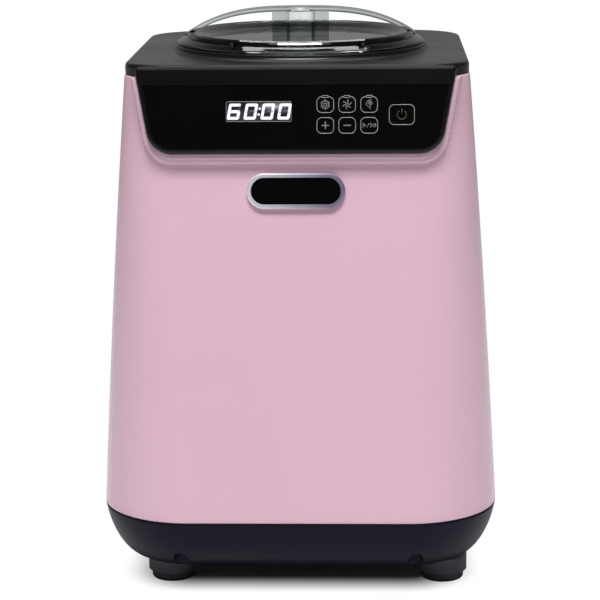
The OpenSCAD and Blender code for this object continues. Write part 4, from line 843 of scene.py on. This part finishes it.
def add_display(made):
    foot = DISPLAY_V - DIGIT_H / 2
    lit, dark = [], []
    for x, number in zip(DIGIT_X, "6000"):
        lit += digit(DISPLAY_X + x, foot, SEGMENTS[number])
        dark += digit(DISPLAY_X + x, foot, [s for s in "abcdefg" if s not in SEGMENTS[number]])
    for share in COLON_RISE:
        x, v = lean(DISPLAY_X + COLON_X, foot, DIGIT_H * share)
        lit.append(ring_points(x, v, COLON_R, 16))
    add_print("display_digits", lit, made["lit"], joined=False)
    # The unlit bars are printed with a faint painted glow.
    add_print("display_dark_bars", dark, made["dark_bar"], joined=False)
    outline = round_box(DISPLAY_X, DISPLAY_V, DISPLAY_W, DISPLAY_H, DISPLAY_R, 4)
    add_print("display_outline", ribbon(outline, LINE_W), made["dim_print"])
    # A plate of painted glow fills the display window behind the digits.
    glow = round_box(DISPLAY_X, DISPLAY_V, DISPLAY_W - 2 * DISPLAY_INSET, DISPLAY_H - 2 * DISPLAY_INSET,
                     DISPLAY_R - 0.2, 4)
    add_print("display_glow", [glow], made["glow"], level=GLASS_FACE - PRINT_T)


def key_outline(x, v, with_lamp):
    line = round_box(x, v, KEY_W, KEY_H, KEY_R)
    if not with_lamp:
        return ribbon(line, LINE_W)
    top = v + KEY_H / 2
    corner = len(line) // 4
    opened = [(x - LAMP_GAP, top)] + line[corner:] + line[:corner] + [(x + LAMP_GAP, top)]
    lamp = round_box(x, top + LAMP_RISE, LAMP_W, LAMP_H, LAMP_R, 4)
    return ribbon(opened, LINE_W, closed=False) + ribbon(lamp, LAMP_LINE_W)


def plus_icon(x, v):
    """A level bar, with one upright bar above it and one below."""
    stub = (SIGN_L - SIGN_W) / 2
    middle = (SIGN_W + stub) / 2
    shape = bar(x, v, SIGN_L, SIGN_W)
    for side in (1, -1):
        shape += bar(x, v + side * middle, SIGN_W, stub)
    return shape


def minus_icon(x, v):
    return bar(x, v, SIGN_L, SIGN_W)


def snowflake_icon(x, v):
    """Two hexagons, one in the other, with six arms across them."""
    shape = ribbon(ring_points(x, v, 2.75, 6, 90), 0.55) + ribbon(ring_points(x, v, 1.05, 6, 90), 0.5)
    for turn in range(30, 390, 60):
        shape += ribbon([polar(x, v, 1.35, turn), polar(x, v, 3.3, turn)], 0.45, closed=False)
    return shape


def swirl_icon(x, v):
    """Six bent arms round a small hexagon."""
    shape = ribbon(ring_points(x, v, 0.8, 6, 60), 0.4)
    for turn in range(0, 360, 60):
        arm = [polar(x, v, 0.9, turn), polar(x, v, 1.9, turn + 6), polar(x, v, 3.1, turn + 26)]
        shape += ribbon(arm, 0.6, closed=False)
    return shape


def cone_icon(x, v):
    """A cone with three scoops."""
    shape = ribbon([(x - 2.1, v + 0.3), (x + 0.2, v + 1.1), (x + 0.9, v - 2.8)], 0.5)
    for px, pv in ((-0.9, 1.5), (0.5, 2.3), (1.3, 0.8)):
        shape += ribbon(ring_points(x + px, v + pv, 0.75, 10), 0.42)
    return shape


def play_icon(x, v):
    """A start sign, a slash, and a start sign with a pause sign."""
    shape = []
    for start in (-3.9, 0.9):
        shape += ribbon([(x + start, v - 1.2), (x + start, v + 1.2), (x + start + 1.7, v)], 0.42)
    shape += ribbon([(x - 1.5, v - 1.5), (x + 0.1, v + 1.5)], 0.45, closed=False)
    for px in (3.2, 4.1):
        shape += bar(x + px, v, 0.45, 2.6)
    return shape


def power_icon(x, v):
    """An open ring with a bar in its gap."""
    ring = ring_points(x, v, 2.9, 26, 125, 290.0)
    return ribbon(ring, 0.6, closed=False) + bar(x, v + 2.3, 0.6, 3.2)


def add_keys(made):
    lines, icons = [], []
    for row, v in enumerate(KEY_V):
        for x in KEY_X:
            lines += key_outline(x, v, with_lamp=row == 0)
    lines += ribbon(round_box(POWER_X, POWER_V, POWER_W, POWER_H, POWER_R), LINE_W)
    icons += snowflake_icon(KEY_X[0], KEY_V[0]) + swirl_icon(KEY_X[1], KEY_V[0])
    icons += cone_icon(KEY_X[2], KEY_V[0]) + play_icon(KEY_X[2], KEY_V[1])
    icons += plus_icon(KEY_X[0], KEY_V[1]) + minus_icon(KEY_X[1], KEY_V[1])
    add_print("key_outlines", lines, made["print"])
    add_print("key_icons", icons, made["dim_print"])
    add_print("power_icon", power_icon(POWER_X, POWER_V), made["power_print"])


add_camera()
set_world()
add_floor()
for soft_box in SOFT_BOXES:
    add_softbox(*soft_box)
made = make_materials()
dress_nodes(made)
housing_skin(made["paint"])
base_skin(made["base"])
add_display(made)
add_keys(made)

bpy.context.scene.view_settings.view_transform = "Standard"
